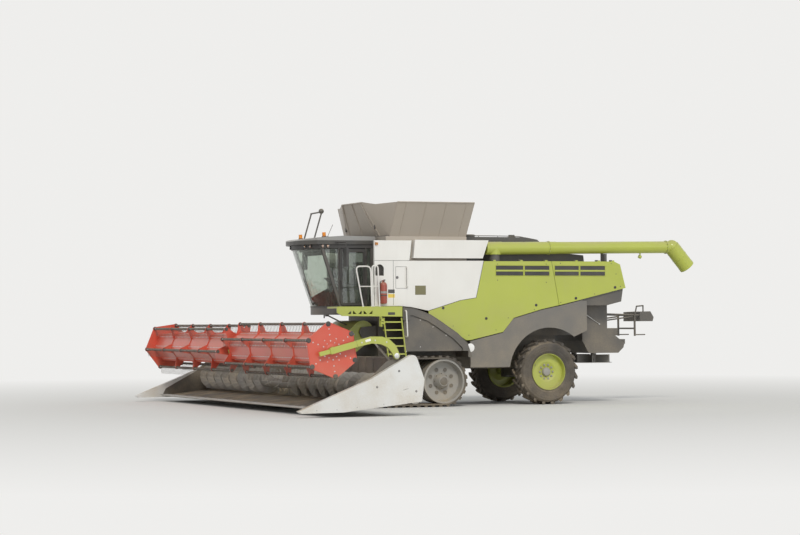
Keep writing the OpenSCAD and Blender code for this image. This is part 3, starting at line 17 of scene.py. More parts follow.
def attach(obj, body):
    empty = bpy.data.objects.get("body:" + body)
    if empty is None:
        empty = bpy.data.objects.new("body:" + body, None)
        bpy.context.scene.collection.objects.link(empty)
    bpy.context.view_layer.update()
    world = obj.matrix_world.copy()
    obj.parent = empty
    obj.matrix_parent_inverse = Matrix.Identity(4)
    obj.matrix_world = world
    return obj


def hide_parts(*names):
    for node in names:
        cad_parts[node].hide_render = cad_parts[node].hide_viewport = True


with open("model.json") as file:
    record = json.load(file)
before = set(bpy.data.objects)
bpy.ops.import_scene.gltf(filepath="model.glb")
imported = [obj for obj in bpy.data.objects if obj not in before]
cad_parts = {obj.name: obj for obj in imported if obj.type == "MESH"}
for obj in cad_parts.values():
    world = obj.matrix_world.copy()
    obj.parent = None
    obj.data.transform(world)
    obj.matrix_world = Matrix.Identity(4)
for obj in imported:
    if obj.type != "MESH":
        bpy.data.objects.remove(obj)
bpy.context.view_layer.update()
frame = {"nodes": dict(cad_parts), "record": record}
NODES = frame["nodes"]
scene = bpy.context.scene

# %% [markdown]
# ## Camera
# The picture is taken with a long lens from about 53 m away and 2 m above the ground. A long
# lens flattens the machine: its side and the wide header keep their shapes.
# The place and the turn of the camera are set by numbers rather than by a tracking
# constraint, because a constraint would lose the slight roll of the picture.

# %% Camera
STAND = Vector((22.7306, 52.627, 2.010))
YAW, PITCH, ROLL = 0.3887, 0.0223, -0.0062
FOCAL_PIXELS, PICTURE_WIDTH, SENSOR = 2384.7, 800, 36

ahead = Vector((-math.sin(YAW) * math.cos(PITCH), -math.cos(YAW) * math.cos(PITCH),
                math.sin(PITCH)))
level = Vector((-math.cos(YAW), math.sin(YAW), 0))
upright = level.cross(ahead)
right = level * math.cos(ROLL) + upright * math.sin(ROLL)
up = upright * math.cos(ROLL) - level * math.sin(ROLL)

camera = bpy.data.objects.new("camera", bpy.data.cameras.new("camera"))
scene.collection.objects.link(camera)
camera.data.sensor_width = SENSOR
camera.data.lens = FOCAL_PIXELS / PICTURE_WIDTH * SENSOR
camera.data.clip_end = 500
camera.matrix_world = Matrix.Translation(STAND) @ Matrix(
    (right, up, -ahead)).transposed().to_4x4()
bpy.context.scene.camera = camera
print("lens", round(camera.data.lens, 1), "mm")

# %% [markdown]
# ## Floor and light
# The machine stands on a plain pale floor under an even sky, so that its own colours decide
# the picture. The sky lights it at a plain level, and one large soft sun from the front left
# gives the forms their shade. The floor fades into the white of the backdrop with distance,
# which hides the horizon without touching the shadow near the machine.
# Light and finishes are both networks of nodes, so a few short helpers come first.

# %% Helpers for nodes
def add_node(tree, kind, operation=None, **inputs):
    """Adds a node; inputs are named with _ for a space and may be numbers, colours or sockets."""
    node = tree.nodes.new("ShaderNode" + kind)
    if operation:
        node.operation = operation
    for name, value in inputs.items():
        put(tree, node.inputs[name.replace("_", " ")], value)
    return node


def put(tree, target, value):
    """Sets an input to a number or colour, or links a socket to it."""
    if isinstance(value, bpy.types.NodeSocket):
        tree.links.new(value, target)
    elif isinstance(value, (tuple, list)) and len(value) == 3 and target.type == "RGBA":
        target.default_value = (*value, 1)
    else:
        target.default_value = value


def blend_shaders(tree, share, first, second, out):
    """Mixes two shaders by a share and sends the result to the output node."""
    both = add_node(tree, "MixShader")
    for socket, value in zip(both.inputs, (share, first.outputs[0], second.outputs[0])):
        put(tree, socket, value)
    put(tree, add_node(tree, out).inputs[0], both.outputs[0])


# %% Sky
BACKDROP, SKY_COLOUR, SKY_STRENGTH = (0.86, 0.855, 0.84), (0.93, 0.96, 1.0), 0.56
scene.view_settings.view_transform = "Standard"
world = bpy.data.worlds.new("sky")
scene.world = world
world.use_nodes = True
sky = world.node_tree
sky.nodes.clear()
rays = add_node(sky, "LightPath").outputs
seen_ray = rays["Is Camera Ray"]
for kind in ("Is Glossy Ray", "Is Transmission Ray"):
    either = add_node(sky, "Math", "MAXIMUM")
    put(sky, either.inputs[0], seen_ray)
    put(sky, either.inputs[1], rays[kind])
    seen_ray = either.outputs[0]
blend_shaders(sky, seen_ray,
              add_node(sky, "Background", Color=SKY_COLOUR, Strength=SKY_STRENGTH),
              add_node(sky, "Background", Color=BACKDROP), "OutputWorld")


# %% Sun and fill
def sun(name, strength, angle, turn, colour):
    """A far lamp; angle is how soft its shadow edge is, turn is its rotation in degrees."""
    lamp = bpy.data.lights.new(name, "SUN")
    lamp.energy, lamp.angle, lamp.color = strength, math.radians(angle), colour
    holder = bpy.data.objects.new(name, lamp)
    holder.rotation_euler = [math.radians(v) for v in turn]
    scene.collection.objects.link(holder)


sun("key_light", 1.45, 14, (-46, 20, 0), (1.0, 0.97, 0.91))
sun("fill_light", 0.4, 40, (-70, -35, 0), SKY_COLOUR)

# %% Floor
FLOOR_HALF, FADE_START, FADE_END = 900, 9, 30
floor_mesh = bpy.data.meshes.new("floor")
floor_mesh.from_pydata([(x * FLOOR_HALF, y * FLOOR_HALF, 0)
                        for x, y in ((-1, -1), (1, -1), (1, 1), (-1, 1))], [], [(0, 1, 2, 3)])
floor = bpy.data.objects.new("floor", floor_mesh)
scene.collection.objects.link(floor)
pale = bpy.data.materials.new("pale_floor")
pale.use_nodes = True
ground = pale.node_tree
ground.nodes.clear()
reach = add_node(ground, "VectorMath", "LENGTH")
put(ground, reach.inputs[0], add_node(ground, "TexCoord").outputs["Object"])
fade = add_node(ground, "MapRange", From_Min=FADE_START, From_Max=FADE_END,
                Value=reach.outputs["Value"])
blend_shaders(ground, fade.outputs[0], add_node(ground, "BsdfDiffuse", Color=(0.74, 0.73, 0.70)),
              add_node(ground, "Emission", Color=BACKDROP), "OutputMaterial")
floor_mesh.materials.append(pale)

# %% [markdown]
# ## Finishes
# A working harvester is never clean: its paint is sound, but a film of fine dust lies on
# whatever faces up, and thickens towards the ground. All finishes are made of nodes on the
# object's own coordinates in metres, so a pattern keeps its scale from piece to piece.
# A small class keeps the recipes short: it wraps one material and adds a node per call.

# %% The finish maker
finishes = {}


class Finish:
    """One material: a Principled shader, with short calls that add patterns to it."""

    def __init__(self, name, rough, metal=0.0, coat=0.0, **fixed):
        material = bpy.data.materials.new(name)
        material.use_nodes = True
        finishes[name] = material
        self.tree = material.node_tree
        self.shader = self.tree.nodes["Principled BSDF"]
        fixed.update(Roughness=rough, Metallic=metal, Coat_Weight=coat, Coat_Roughness=0.12)
        for key, value in fixed.items():
            self.shader.inputs[key.replace("_", " ")].default_value = value
        self.where = self.node("TexCoord").outputs["Object"]
        self.facing = self.node("NewGeometry").outputs["Normal"]

    def node(self, kind, operation=None, **inputs):
        """Adds a node to this material."""
        return add_node(self.tree, kind, operation, **inputs)

    def set(self, name, value):
        """Sets or links one input of the shader."""
        put(self.tree, self.shader.inputs[name], value)

    def noise(self, scale, detail=3.0, stretch=None, contrast=None):
        """Cloudy noise from 0 to 1; scale is in clouds per metre, stretch is per axis."""
        source = self.where
        if stretch:
            source = self.node("Mapping", Scale=stretch, Vector=source).outputs[0]
        result = self.node("TexNoise", Scale=scale, Detail=detail, Vector=source).outputs[0]
        return self.span(result, *contrast) if contrast else result

    def cells(self, scale, kind="F1"):
        """Distance to the nearest point of a scatter, for grains, chips and pits."""
        node = self.node("TexVoronoi")
        node.feature = kind
        put(self.tree, node.inputs["Scale"], scale)
        put(self.tree, node.inputs["Randomness"], 1.0)
        put(self.tree, node.inputs["Vector"], self.where)
        return node.outputs["Distance"]

    def span(self, value, low, high, start=0.0, end=1.0):
        """Maps low..high to start..end and holds it there."""
        return self.node("MapRange", From_Min=low, From_Max=high, To_Min=start, To_Max=end,
                         Value=value).outputs[0]

    def math(self, kind, first, second=0.0):
        """A math node, such as MULTIPLY or MAXIMUM."""
        node = self.node("Math", kind)
        put(self.tree, node.inputs[0], first)
        put(self.tree, node.inputs[1], second)
        return node.outputs[0]

    def times(self, first, second):
        """The product of two values."""
        return self.math("MULTIPLY", first, second)

    def plus(self, first, second):
        """The sum of two values."""
        return self.math("ADD", first, second)

    def axis(self, vector, letter):
        """One coordinate of a vector."""
        return self.node("SeparateXYZ", Vector=vector).outputs[letter]

    def mix(self, amount, first, second):
        """Mixes two colours by amount."""
        node = self.node("Mix")
        node.data_type = "RGBA"
        for place, value in ((0, amount), (6, first), (7, second)):
            put(self.tree, node.inputs[place], value)
        return node.outputs[2]

    def bump(self, height, strength, distance):
        """Raises the surface in the shading by the height pattern, distance in metres."""
        node = self.node("Bump", Strength=strength, Distance=distance, Height=height)
        self.set("Normal", node.outputs[0])

    def dusted(self, under, amount, tint=(0.47, 0.38, 0.25), high=2.6):
        """Fine dust over a colour: on what faces up, near the ground, and in patches.
        The colour goes to the shader, and the cover of the dust comes back."""
        flat = self.span(self.axis(self.facing, "Z"), 0.15, 0.95)
        patch = self.noise(1.7, 5, contrast=(0.38, 0.68))
        grain = self.noise(38, 3, contrast=(0.35, 0.65))
        depth = self.span(self.axis(self.where, "Z"), 0.3, high, 1.0, 0.0)
        film = self.plus(self.plus(self.times(flat, 0.55), self.times(depth, 0.42)), 0.10)
        cloudy = self.times(film, self.span(patch, 0, 1, 0.35, 1.15))
        fine = self.times(cloudy, self.span(grain, 0, 1, 0.72, 1.1))
        cover = self.span(self.times(fine, amount), 0, 1)
        self.set("Base Color", self.mix(cover, under, tint))
        return cover


def shaded(colour, share, plus=0.0):
    """A colour with each part times a share."""
    return tuple(min(1, c * share + plus) for c in colour)


# %% Paint
def painted(name, colour, rough=0.34, coat=0.35, dust=0.8, worn=0.5, below=None):
    """Machine paint: slow colour drift, orange peel, chips to primer and a dust film.
    Where below is given as (height, colour), the shell has that colour under the height."""
    finish = Finish(name, rough, coat=coat)
    body = finish.mix(finish.noise(0.9, 2, contrast=(0.3, 0.7)), colour, shaded(colour, 0.92))
    if below:
        height, under = below
        low = finish.span(finish.axis(finish.where, "Z"), height - 0.002, height + 0.002, 1, 0)
        body = finish.mix(low, body, under)
    streaks = finish.noise(5, 4, stretch=(1, 1, 0.12), contrast=(0.55, 0.8))
    body = finish.mix(finish.times(streaks, 0.13 * worn), body, (0.30, 0.26, 0.20))
    chips = finish.times(finish.noise(70, 2, contrast=(0.70, 0.73)),
                         finish.noise(2.2, 2, contrast=(0.55, 0.66)))
    body = finish.mix(finish.times(chips, worn), body, (0.20, 0.19, 0.18))
    cover = finish.dusted(body, dust)
    finish.set("Roughness", finish.span(cover, 0, 0.8, rough, 0.88))
    finish.bump(finish.plus(finish.times(finish.noise(240, 2), 0.5), chips), 0.06, 0.002)


# The lime is set about a tenth darker than the paint itself: painted shade of the machine's shaded
# side.
painted("lime_paint", (0.43, 0.485, 0.060))
painted("blank_olive", (0.17, 0.16, 0.075), rough=0.5, coat=0.1, dust=0.5)
painted("white_paint", (0.80, 0.79, 0.75), dust=0.62)
painted("grey_paint", (0.30, 0.30, 0.29), rough=0.45, coat=0.15)
painted("dark_paint", (0.085, 0.083, 0.080), rough=0.48, coat=0.1, dust=0.85)
painted("tank_paint", (0.44, 0.39, 0.33), rough=0.5, coat=0.05, dust=0.6)
painted("red_paint", (0.64, 0.070, 0.036), dust=0.45, worn=0.8)
painted("roof_paint", (0.30, 0.30, 0.29), rough=0.45, coat=0.15, dust=0.6,
        below=(3.882, (0.045, 0.044, 0.042)))
painted("base_grey", (0.155, 0.148, 0.138), rough=0.5, coat=0.1, dust=0.85)
painted("bottle_red", (0.34, 0.055, 0.035), dust=0.7, worn=0.8)
painted("pale_paint", (0.74, 0.75, 0.74), rough=0.4, coat=0.2)


# %% Steel, rubber, plastics and glass
def worn_steel(name, colour, rough=0.36, lines=(1, 60, 1), dust=0.35):
    """Bare steel, polished by use: bright, with fine lines along the flow."""
    finish = Finish(name, rough, metal=0.85)
    scratch = finish.noise(6, 5, stretch=lines, contrast=(0.3, 0.7))
    rust = finish.noise(3.1, 6, contrast=(0.62, 0.78))
    metal = finish.mix(scratch, colour, shaded(colour, 0.72))
    finish.dusted(finish.mix(finish.times(rust, 0.45), metal, (0.24, 0.13, 0.07)), dust)
    finish.set("Roughness", finish.span(finish.plus(scratch, rust), 0, 2, rough, 0.7))
    finish.bump(scratch, 0.15, 0.0015)


def rubber(name, colour=(0.045, 0.043, 0.042), dust=1.05, moulded=True):
    """Tyre rubber: matt black-brown, dusty on what faces up and near the ground, with a fine
    moulded grain.
    """
    finish = Finish(name, 0.82, Specular_IOR_Level=0.25)
    body = finish.mix(finish.noise(4, 5, contrast=(0.3, 0.72)), colour, shaded(colour, 1.9))
    cover = finish.dusted(body, dust, tint=(0.36, 0.29, 0.20), high=1.9)
    finish.set("Roughness", finish.span(cover, 0, 1, 0.7, 0.95))
    grain = finish.noise(180, 3)
    cracks = finish.cells(55, "DISTANCE_TO_EDGE") if moulded else grain
    finish.bump(finish.plus(grain, finish.span(cracks, 0, 0.1)), 0.2, 0.0015)


def plastic(name, colour, rough=0.5, dust=0.5):
    """Moulded plastic with a fine leather-like grain and dust in it."""
    finish = Finish(name, rough)
    body = finish.mix(finish.noise(2, 3, contrast=(0.3, 0.7)), colour,
                      shaded(colour, 1.35, 0.01))
    cover = finish.dusted(body, dust)
    finish.set("Roughness", finish.span(cover, 0, 0.8, rough, 0.9))
    finish.bump(finish.cells(130), 0.12, 0.0012)


def glazing(name, colour, clear=0.92, rough=0.02, dust=0.35):
    """Glass or a lens: clear where wiped, with a thin film of dust that scatters light."""
    finish = Finish(name, rough, Transmission_Weight=clear, IOR=1.45)
    film = finish.times(finish.noise(1.4, 5, contrast=(0.35, 0.75)), dust)
    spots = finish.times(finish.noise(9, 4, contrast=(0.45, 0.8)), film)
    finish.set("Base Color", finish.mix(spots, colour, (0.75, 0.70, 0.60)))
    finish.set("Roughness", finish.span(spots, 0, 0.6, rough, 0.32))
    finish.set("Transmission Weight", finish.span(spots, 0, 0.6, clear, clear * 0.75))


def cloth(name, colour, thread=900.0):
    """Woven seat cloth: crossed sets of threads, worked out from sine waves."""
    finish = Finish(name, 0.92, Sheen_Weight=0.35)
    ridges = [finish.math("SINE", finish.times(finish.axis(finish.where, letter), thread))
              for letter in "XYZ"]
    height = finish.plus(finish.plus(ridges[0], ridges[1]), ridges[2])
    weave = finish.span(height, -2, 2)
    worn_patch = finish.noise(7, 3, contrast=(0.35, 0.7))
    body = finish.mix(weave, colour, shaded(colour, 1.5))
    finish.set("Base Color", finish.mix(finish.times(worn_patch, 0.3), body, (0.22, 0.20, 0.17)))
    finish.bump(weave, 0.3, 0.001)


worn_steel("steel", (0.56, 0.55, 0.53))
worn_steel("bright_steel", (0.72, 0.72, 0.71), rough=0.2, lines=(30, 1, 1), dust=0.12)
rubber("tyre_rubber")
rubber("hose_rubber", (0.03, 0.03, 0.03), dust=0.6, moulded=False)
plastic("black_plastic", (0.035, 0.035, 0.036))
plastic("grey_plastic", (0.16, 0.16, 0.16), dust=0.3)
plastic("tine_plastic", (0.10, 0.09, 0.08), dust=0.4)
plastic("blank_plate", (0.05, 0.05, 0.05), rough=0.3, dust=0.3)
plastic("blank_label", (0.80, 0.79, 0.74), rough=0.35, dust=0.3)
plastic("blank_yellow", (0.72, 0.52, 0.08), rough=0.35, dust=0.4)
glazing("tinted_glass", (0.70, 0.76, 0.70), clear=0.96, dust=0.20)
glazing("amber_lens", (0.95, 0.36, 0.03), clear=0.55, rough=0.12, dust=0.2)
glazing("clear_lens", (0.92, 0.94, 0.95), clear=0.75, rough=0.06, dust=0.2)
glazing("red_lens", (0.75, 0.03, 0.02), clear=0.5, rough=0.12, dust=0.2)
cloth("seat_cloth", (0.05, 0.05, 0.055))
cloth("blind_cloth", (0.06, 0.055, 0.05), thread=500.0)
print("finishes", len(finishes))

# %% [markdown]
# ## Finishes on the CAD nodes
# The shapes of the CAD nodes are right as they are, so each keeps its mesh and gets the
# finish that the record names for it. A few carry a finish of their own.

# %% Finish of every node
SLOT_OF = {part["node"]: part["material_slot"] for part in frame["record"]["subparts"]}
SPECIAL = {"header_dividers": "pale_paint", "cab_roof": "roof_paint", "base_panels": "base_grey",
           "fire_extinguisher": "bottle_red"}
for node_name, solid in NODES.items():
    chosen = finishes[SPECIAL.get(node_name, SLOT_OF[node_name])]
    if solid.material_slots:
        for holder in solid.material_slots:
            holder.material = chosen
    else:
        solid.data.materials.append(chosen)
print("dressed", len(NODES), "nodes in", len(set(SLOT_OF.values())), "finishes")

# %% [markdown]
# ## Tools for new pieces
# Every new piece is a surface worked out with numpy: a point of a grid is a function of two
# parameters, or a profile is carried along a path. Whole arrays are computed at once, then
# handed to the mesh. A Shape collects many such surfaces into one object, so that three
# hundred bolts are one piece and not three hundred, and prints what it has made.
# The alternative, adding primitives and joining them, is slower and hides the sizes.

# %% Places
TRACK_MIDDLE = 1.68164  # the sizes below are measured from the middle of the track units
SIDES = ((1, "left"), (-1, "right"))


def at(x, y, z):
    """A place measured from the middle of the track units, as a place in the scene."""
    return np.array((x + TRACK_MIDDLE, y, z), float)


def outline_at(*places):
    """The same for an outline drawn as (x, z)."""
    return [(x + TRACK_MIDDLE, z) for x, z in places]


def on_circle(x, z, radius, angle, y):
    """A place on a circle about a cross axis: sine forward and cosine up, so that the angle
    in degrees starts at the top."""
    a = math.radians(angle)
    return at(x + radius * math.sin(a), y, z + radius * math.cos(a))


def on_side(side, near, far):
    """Two distances from the middle plane, taken to one side, the lower one first."""
    return sorted((near * side, far * side))


def between(a, b, share):
    """A place on the way from a to b."""
    return np.array(a, float) * (1 - share) + np.array(b, float) * share


def full_turn(count):
    """Angles of a full turn in even steps."""
    return np.linspace(0, 2 * np.pi, count, endpoint=False)


def crosswise(axis):
    """A direction square to an axis: its cross product with up, or with forward if it is steep."""
    return np.cross(axis, (0, 0, 1) if abs(axis[2]) < 0.9 else (1, 0, 0))


# %% Faces
def grid_faces(rows, columns, wrap=True):
    """Quads between neighbouring points of a grid; wrap joins the last column to the first."""
    i, j = np.meshgrid(np.arange(rows - 1), np.arange(columns if wrap else columns - 1),
                       indexing="ij")
    k = (j + 1) % columns
    return np.stack([i * columns + j, i * columns + k, (i + 1) * columns + k,
                     (i + 1) * columns + j], -1).reshape(-1, 4)


def closed_faces(rows, columns):
    """The faces of a grid of rings, with a cap over its first and its last ring."""
    last = (rows - 1) * columns
    return [*grid_faces(rows, columns), tuple(range(columns))[::-1],
            tuple(last + k for k in range(columns))]


class Shape:
    """Points and faces of one piece. Each call places one more surface."""

    def __init__(self):
        self.points, self.faces, self.count = [], [], 0

    def add(self, points, faces):
        """Points of any grid shape, with faces that count them from 0."""
        points = np.asarray(points, float).reshape(-1, 3)
        self.points.append(points)
        self.faces += [tuple(int(v) + self.count for v in f) for f in faces]
        self.count += len(points)
        return self

    def tube(self, path, radius, sides=10):
        """A circle of the given radius carried along a path; the radius may vary."""
        path = np.asarray(path, float)
        way = np.gradient(path, axis=0)
        way /= np.linalg.norm(way, axis=1, keepdims=True)
        side = crosswise(way[0])
        sides_at = []
        for direction in way:
            side = side - direction * side.dot(direction)
            side /= np.linalg.norm(side)
            sides_at.append(side)
        across = np.array(sides_at)
        third = np.cross(way, across)
        angle = full_turn(sides)
        r = np.broadcast_to(np.asarray(radius, float), (len(path),))[:, None, None]
        ring = path[:, None] + r * (across[:, None] * np.cos(angle)[None, :, None]
                                    + third[:, None] * np.sin(angle)[None, :, None])
        return self.add(ring, closed_faces(len(path), sides))

    def line(self, radius, start, end, sides=8):
        """A straight rod between two places, with a ring at its middle."""
        a, b = np.array(start, float), np.array(end, float)
        return self.tube([a, (a + b) / 2, b], radius, sides=sides)

    def loop(self, outline, y, radius):
        """A rod round a closed outline drawn as (x, z), with its corners kept crisp."""
        corners = [at(x, y, z) for x, z in outline]
        for a, b in zip(corners, corners[1:] + corners[:1]):
            self.line(radius, a, b)

    def turned(self, centre, axis, profile, sides=24):
        """A profile of (radius, distance along the axis) pairs turned about the axis: each
        pair gives a ring, the distance along the axis plus the radius times cosine and sine."""
        profile = np.asarray(profile, float)
        axis = np.asarray(axis, float) / np.linalg.norm(axis)
        side = crosswise(axis)
        side /= np.linalg.norm(side)
        angle = full_turn(sides)
        round_it = (side[None] * np.cos(angle)[:, None]
                    + np.cross(axis, side)[None] * np.sin(angle)[:, None])
        ring = (np.asarray(centre, float) + axis * profile[:, 1, None, None]
                + profile[:, 0, None, None] * round_it[None])
        return self.add(ring, closed_faces(len(profile), sides))

    def block(self, low, high, edge, turn=None, steps=2):
        """A box with rounded edges: a small sphere whose eight parts are moved apart."""
        low, high = np.asarray(low, float), np.asarray(high, float)
        edge = min(edge, *(0.49 * (high - low)))
        half = (high - low) / 2 - edge
        quarter = np.linspace(0, np.pi / 2, steps + 1)
        around = np.concatenate([quarter + k * np.pi / 2 for k in range(4)])
        rise = np.concatenate([quarter - np.pi / 2, quarter])
        corner_x = np.repeat([1, -1, -1, 1], steps + 1)
        corner_y = np.repeat([1, 1, -1, -1], steps + 1)
        corner_z = np.repeat([-1, 1], steps + 1)
        points = np.stack([
            np.cos(rise)[:, None] * np.cos(around)[None] * edge + corner_x[None] * half[0],
            np.cos(rise)[:, None] * np.sin(around)[None] * edge + corner_y[None] * half[1],
            np.broadcast_to((np.sin(rise) * edge + corner_z * half[2])[:, None],
                            (len(rise), len(around)))], -1)
        if turn is not None:
            points = points @ np.asarray(turn, float).T
        points = points + (low + high) / 2
        return self.add(points, closed_faces(len(rise), len(around)))

    def plate(self, outline, start, end, axes="xz"):
        """A flat outline, drawn on two axes, thickened from start to end on the third."""
        outline = np.asarray(outline, float)
        third = ({"x", "y", "z"} - set(axes)).pop()
        points = np.zeros((2, len(outline), 3))
        for value, letter in zip((outline[:, 0], outline[:, 1]), axes):
            points[:, :, "xyz".index(letter)] = value
        points[0, :, "xyz".index(third)], points[1, :, "xyz".index(third)] = start, end
        n = len(outline)
        sides = [(k, (k + 1) % n, n + (k + 1) % n, n + k) for k in range(n)]
        return self.add(points, sides + [tuple(range(n))[::-1], tuple(range(n, 2 * n))])

    def repeat(self, other, places):
        """Copies of another Shape, moved to each of the places."""
        base = np.concatenate(other.points)
        for place in np.asarray(places, float).reshape(-1, 3):
            self.add(base + place, other.faces)
        return self

    def bolts(self, radius, height, way, *places):
        """A bolt head at each place, facing along way."""
        return self.repeat(hexagon_head(radius, height, way), places)

    def build(self, name, body, finish, slot=None, smooth=40, replaces=(), bevel=0.0):
        """Makes the object: faces turned outwards, smooth but for edges past an angle.
        The slot argument is not used."""
        mesh = bpy.data.meshes.new(name)
        mesh.from_pydata(np.concatenate(self.points).tolist(), [], self.faces)
        welded = bmesh.new()
        welded.from_mesh(mesh)
        bmesh.ops.recalc_face_normals(welded, faces=welded.faces)
        welded.to_mesh(mesh)
        welded.free()
        mesh.polygons.foreach_set("use_smooth", [True] * len(mesh.polygons))
        mesh.set_sharp_from_angle(angle=math.radians(smooth))
        mesh.materials.append(finishes[finish])
        piece = bpy.data.objects.new(name, mesh)
        scene.collection.objects.link(piece)
        if bevel:
            rounding = piece.modifiers.new("edges", "BEVEL")
            rounding.width, rounding.segments = bevel, 2
            rounding.limit_method, rounding.angle_limit = "ANGLE", math.radians(40)
        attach(piece, body)
        if replaces:
            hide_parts(*replaces)
        print("made", name, "on", body, "with", len(mesh.polygons), "faces")
        return piece


# %% Paths, turns and bolt heads
def curve_through(*places, steps=8):
    """A smooth path through places: a Catmull-Rom spline, each span cut in steps."""
    p = np.array([places[0], *places, places[-1]], float)
    t = np.linspace(0, 1, steps, endpoint=False)[:, None]
    spans = [0.5 * (2 * b + (c - a) * t + (2 * a - 5 * b + 4 * c - d) * t ** 2
                    + (3 * b - a - 3 * c + d) * t ** 3)
             for a, b, c, d in zip(p, p[1:], p[2:], p[3:])]
    return np.concatenate(spans + [p[-1:]])


def turn_about(axis, degrees):
    """The 3 by 3 matrix of a turn about an axis."""
    return np.array(Matrix.Rotation(math.radians(degrees), 3, Vector(axis)))


def hexagon_head(radius, height, way):
    """A bolt head: six sides, a washer under it and a chamfer on top, facing along way."""
    return Shape().turned((0, 0, 0), way, [
        (radius * 1.5, 0), (radius * 1.5, height * 0.25), (radius, height * 0.25),
        (radius, height * 0.9), (radius * 0.85, height)], sides=6)


# %% [markdown]
# ## Reel: tine bars, tines and bearings
# Each half of the reel has six bars on a circle, and sprung tines hang from them every 96 mm.
# One tine is a wire with a coil round its bar: the coil is a helix, the tooth is the wire
# running on downwards. Only a few dozen faces go into each, as there are hundreds.
# The CAD bars and tines are stood in for, because theirs are fewer and plain.

# %% Tine bars
REEL_X, REEL_Z, BAR_CIRCLE, BAR_R = 3.474, 1.400, 0.558, 0.020
REEL_END, REEL_GAP, BAR_STEP = 5.925, 0.110, 60
HALVES = [(REEL_GAP, REEL_END, 8.0), (-REEL_END, -REEL_GAP, 38.0)]  # from, to, first angle


def reel_at(radius, angle, y):
    """A place on a circle about the axis of the reel."""
    return on_circle(REEL_X, REEL_Z, radius, angle, y)


def bar_places(phase, y):
    """A place on each of the six bars, for the angle of the first bar."""
    return [reel_at(BAR_CIRCLE, phase + BAR_STEP * k, y) for k in range(6)]


bars = Shape()
for first, last, phase in HALVES:
    ends = [(0.012, -0.012), (BAR_R - 0.003, -0.012), (BAR_R, -0.009)]
    far_ends = [(r, last - first - h) for r, h in reversed(ends)]
    for place in bar_places(phase, first):
        bars.turned(place, (0, 1, 0), ends + far_ends, sides=14)
bars.build("tine_bars", "reel", "steel", replaces=("reel_tines",))

# %% Tines
TINE_PITCH, TINE_MARGIN, COIL_R = 0.096, 0.16, BAR_R + 0.006
spin = np.linspace(0, 2.5 * 2 * np.pi, 16)
coil = np.stack([COIL_R * np.sin(spin), 0.012 * spin / np.pi - 0.03, COIL_R * np.cos(spin)], -1)
tooth = np.array([(0.026, 0.002, -0.05), (0.020, 0.004, -0.11), (0.006, 0.004, -0.175)])
wire = Shape().tube(np.concatenate([coil, tooth]), 0.0045, sides=5)
tines = Shape()
for first, last, phase in HALVES:
    count = int((last - first - TINE_MARGIN) / TINE_PITCH)
    along = (first + last) / 2 + (np.arange(count) - (count - 1) / 2) * TINE_PITCH
    for place in bar_places(phase, 0):
        tines.repeat(wire, [place + (0, y, 0) for y in along])
tines.build("tines", "reel", "tine_plastic")

# %% Bearing blocks on the spider plates
PLATES, PLATE_T = 5, 0.012


def plate_places(first, last):
    """Where the spider plates of one half stand along the reel."""
    return first + np.arange(PLATES) * (last - first - PLATE_T) / (PLATES - 1)


clamp = Shape().turned((0, -0.022, 0), (0, 1, 0), [
    (BAR_R + 0.001, 0), (0.036, 0), (0.040, 0.004), (0.040, 0.018), (BAR_R + 0.001, 0.018)],
    sides=16)
bearings = Shape()
for first, last, phase in HALVES:
    for place in bar_places(phase, 0):
        for shift in (0.004, PLATE_T + 0.022):
            bearings.repeat(clamp, [place + (0, y + shift, 0) for y in plate_places(first, last)])
bearings.build("bar_bearings", "reel", "black_plastic")

# %% End plates: rims and bolts
RIM_CIRCLE = 0.596
nuts = Shape()
for (side, name), (first, last, phase) in zip(SIDES, HALVES):
    face, way = REEL_END * side, (0, side, 0)
    rim = Shape()
    ring = [reel_at(RIM_CIRCLE, phase + BAR_STEP * k, face) for k in range(7)]
    for a, b in zip(ring, ring[1:]):
        rim.tube([between(a, b, 0.03), between(a, b, 0.97)], 0.0075, sides=8)
    for k in range(6):
        arm = phase + BAR_STEP * k
        nuts.bolts(0.010, 0.010, way, *[reel_at(r, arm, face) for r in (0.20, 0.33, 0.45)])
        nuts.bolts(0.008, 0.008, way, *[reel_at(r, arm + BAR_STEP / 2, face)
                                        for r in (0.17, 0.26)])
    rim.turned(reel_at(0, 0, face), way,
               [(0.076, 0.0), (0.130, 0), (0.130, 0.006), (0.122, 0.010), (0.076, 0.010)])
    rim.build("end_plate_rim_" + name, "reel", "red_paint")
nuts.build("end_plate_bolts", "reel", "bright_steel", smooth=20)

# %% [markdown]
# The six planks of the drum are pressed steel: each has two rows of short slots, which let
# dirt fall out, and a folded bead between each two planks. From the side the slots read as a
# dotted bright line of glints. They are shallow raised shapes in pale paint here, a painted
# highlight for those glints, so that the planks stay as they are.

# %% Planks of the drum
DRUM_R, SLOT_PITCH, SLOT_LENGTH, SLOT_WIDTH, SLOT_SIDES = 0.380, 0.115, 0.034, 0.009, 10
slot_glints, beads = Shape(), Shape()
angle = full_turn(SLOT_SIDES)
for first, last, phase in HALVES:
    stations = plate_places(first, last)
    for k in range(6):
        p, q = (reel_at(DRUM_R, phase + BAR_STEP * (k + t), 0) for t in (0, 1))
        out = (p + q) / 2 - reel_at(0, 0, 0)
        out /= np.linalg.norm(out)
        along = (q - p) / np.linalg.norm(q - p)
        for share in (0.17, 0.83):
            foot = p + (q - p) * share + out * 0.0015
            for y in np.arange(first + 0.16, last - 0.1, SLOT_PITCH):
                edge = (foot + (0, y, 0) + np.outer(np.cos(angle) * SLOT_WIDTH, along)
                        + np.outer(np.sin(angle) * SLOT_LENGTH, (0, 1, 0)))
                slot_glints.add(np.stack([edge, edge + out * 0.003]), closed_faces(2, SLOT_SIDES))
        for y0, y1 in zip(stations, stations[1:]):
            beads.tube([p + (0, y0 + 0.02, 0), p + (0, y1 - 0.01, 0)], 0.007, sides=6)
# The pale raised slots are painted highlight: they stand for the glints along the drum.
slot_glints.build("plank_slot_glints", "reel", "pale_paint")
beads.build("plank_beads", "reel", "red_paint")

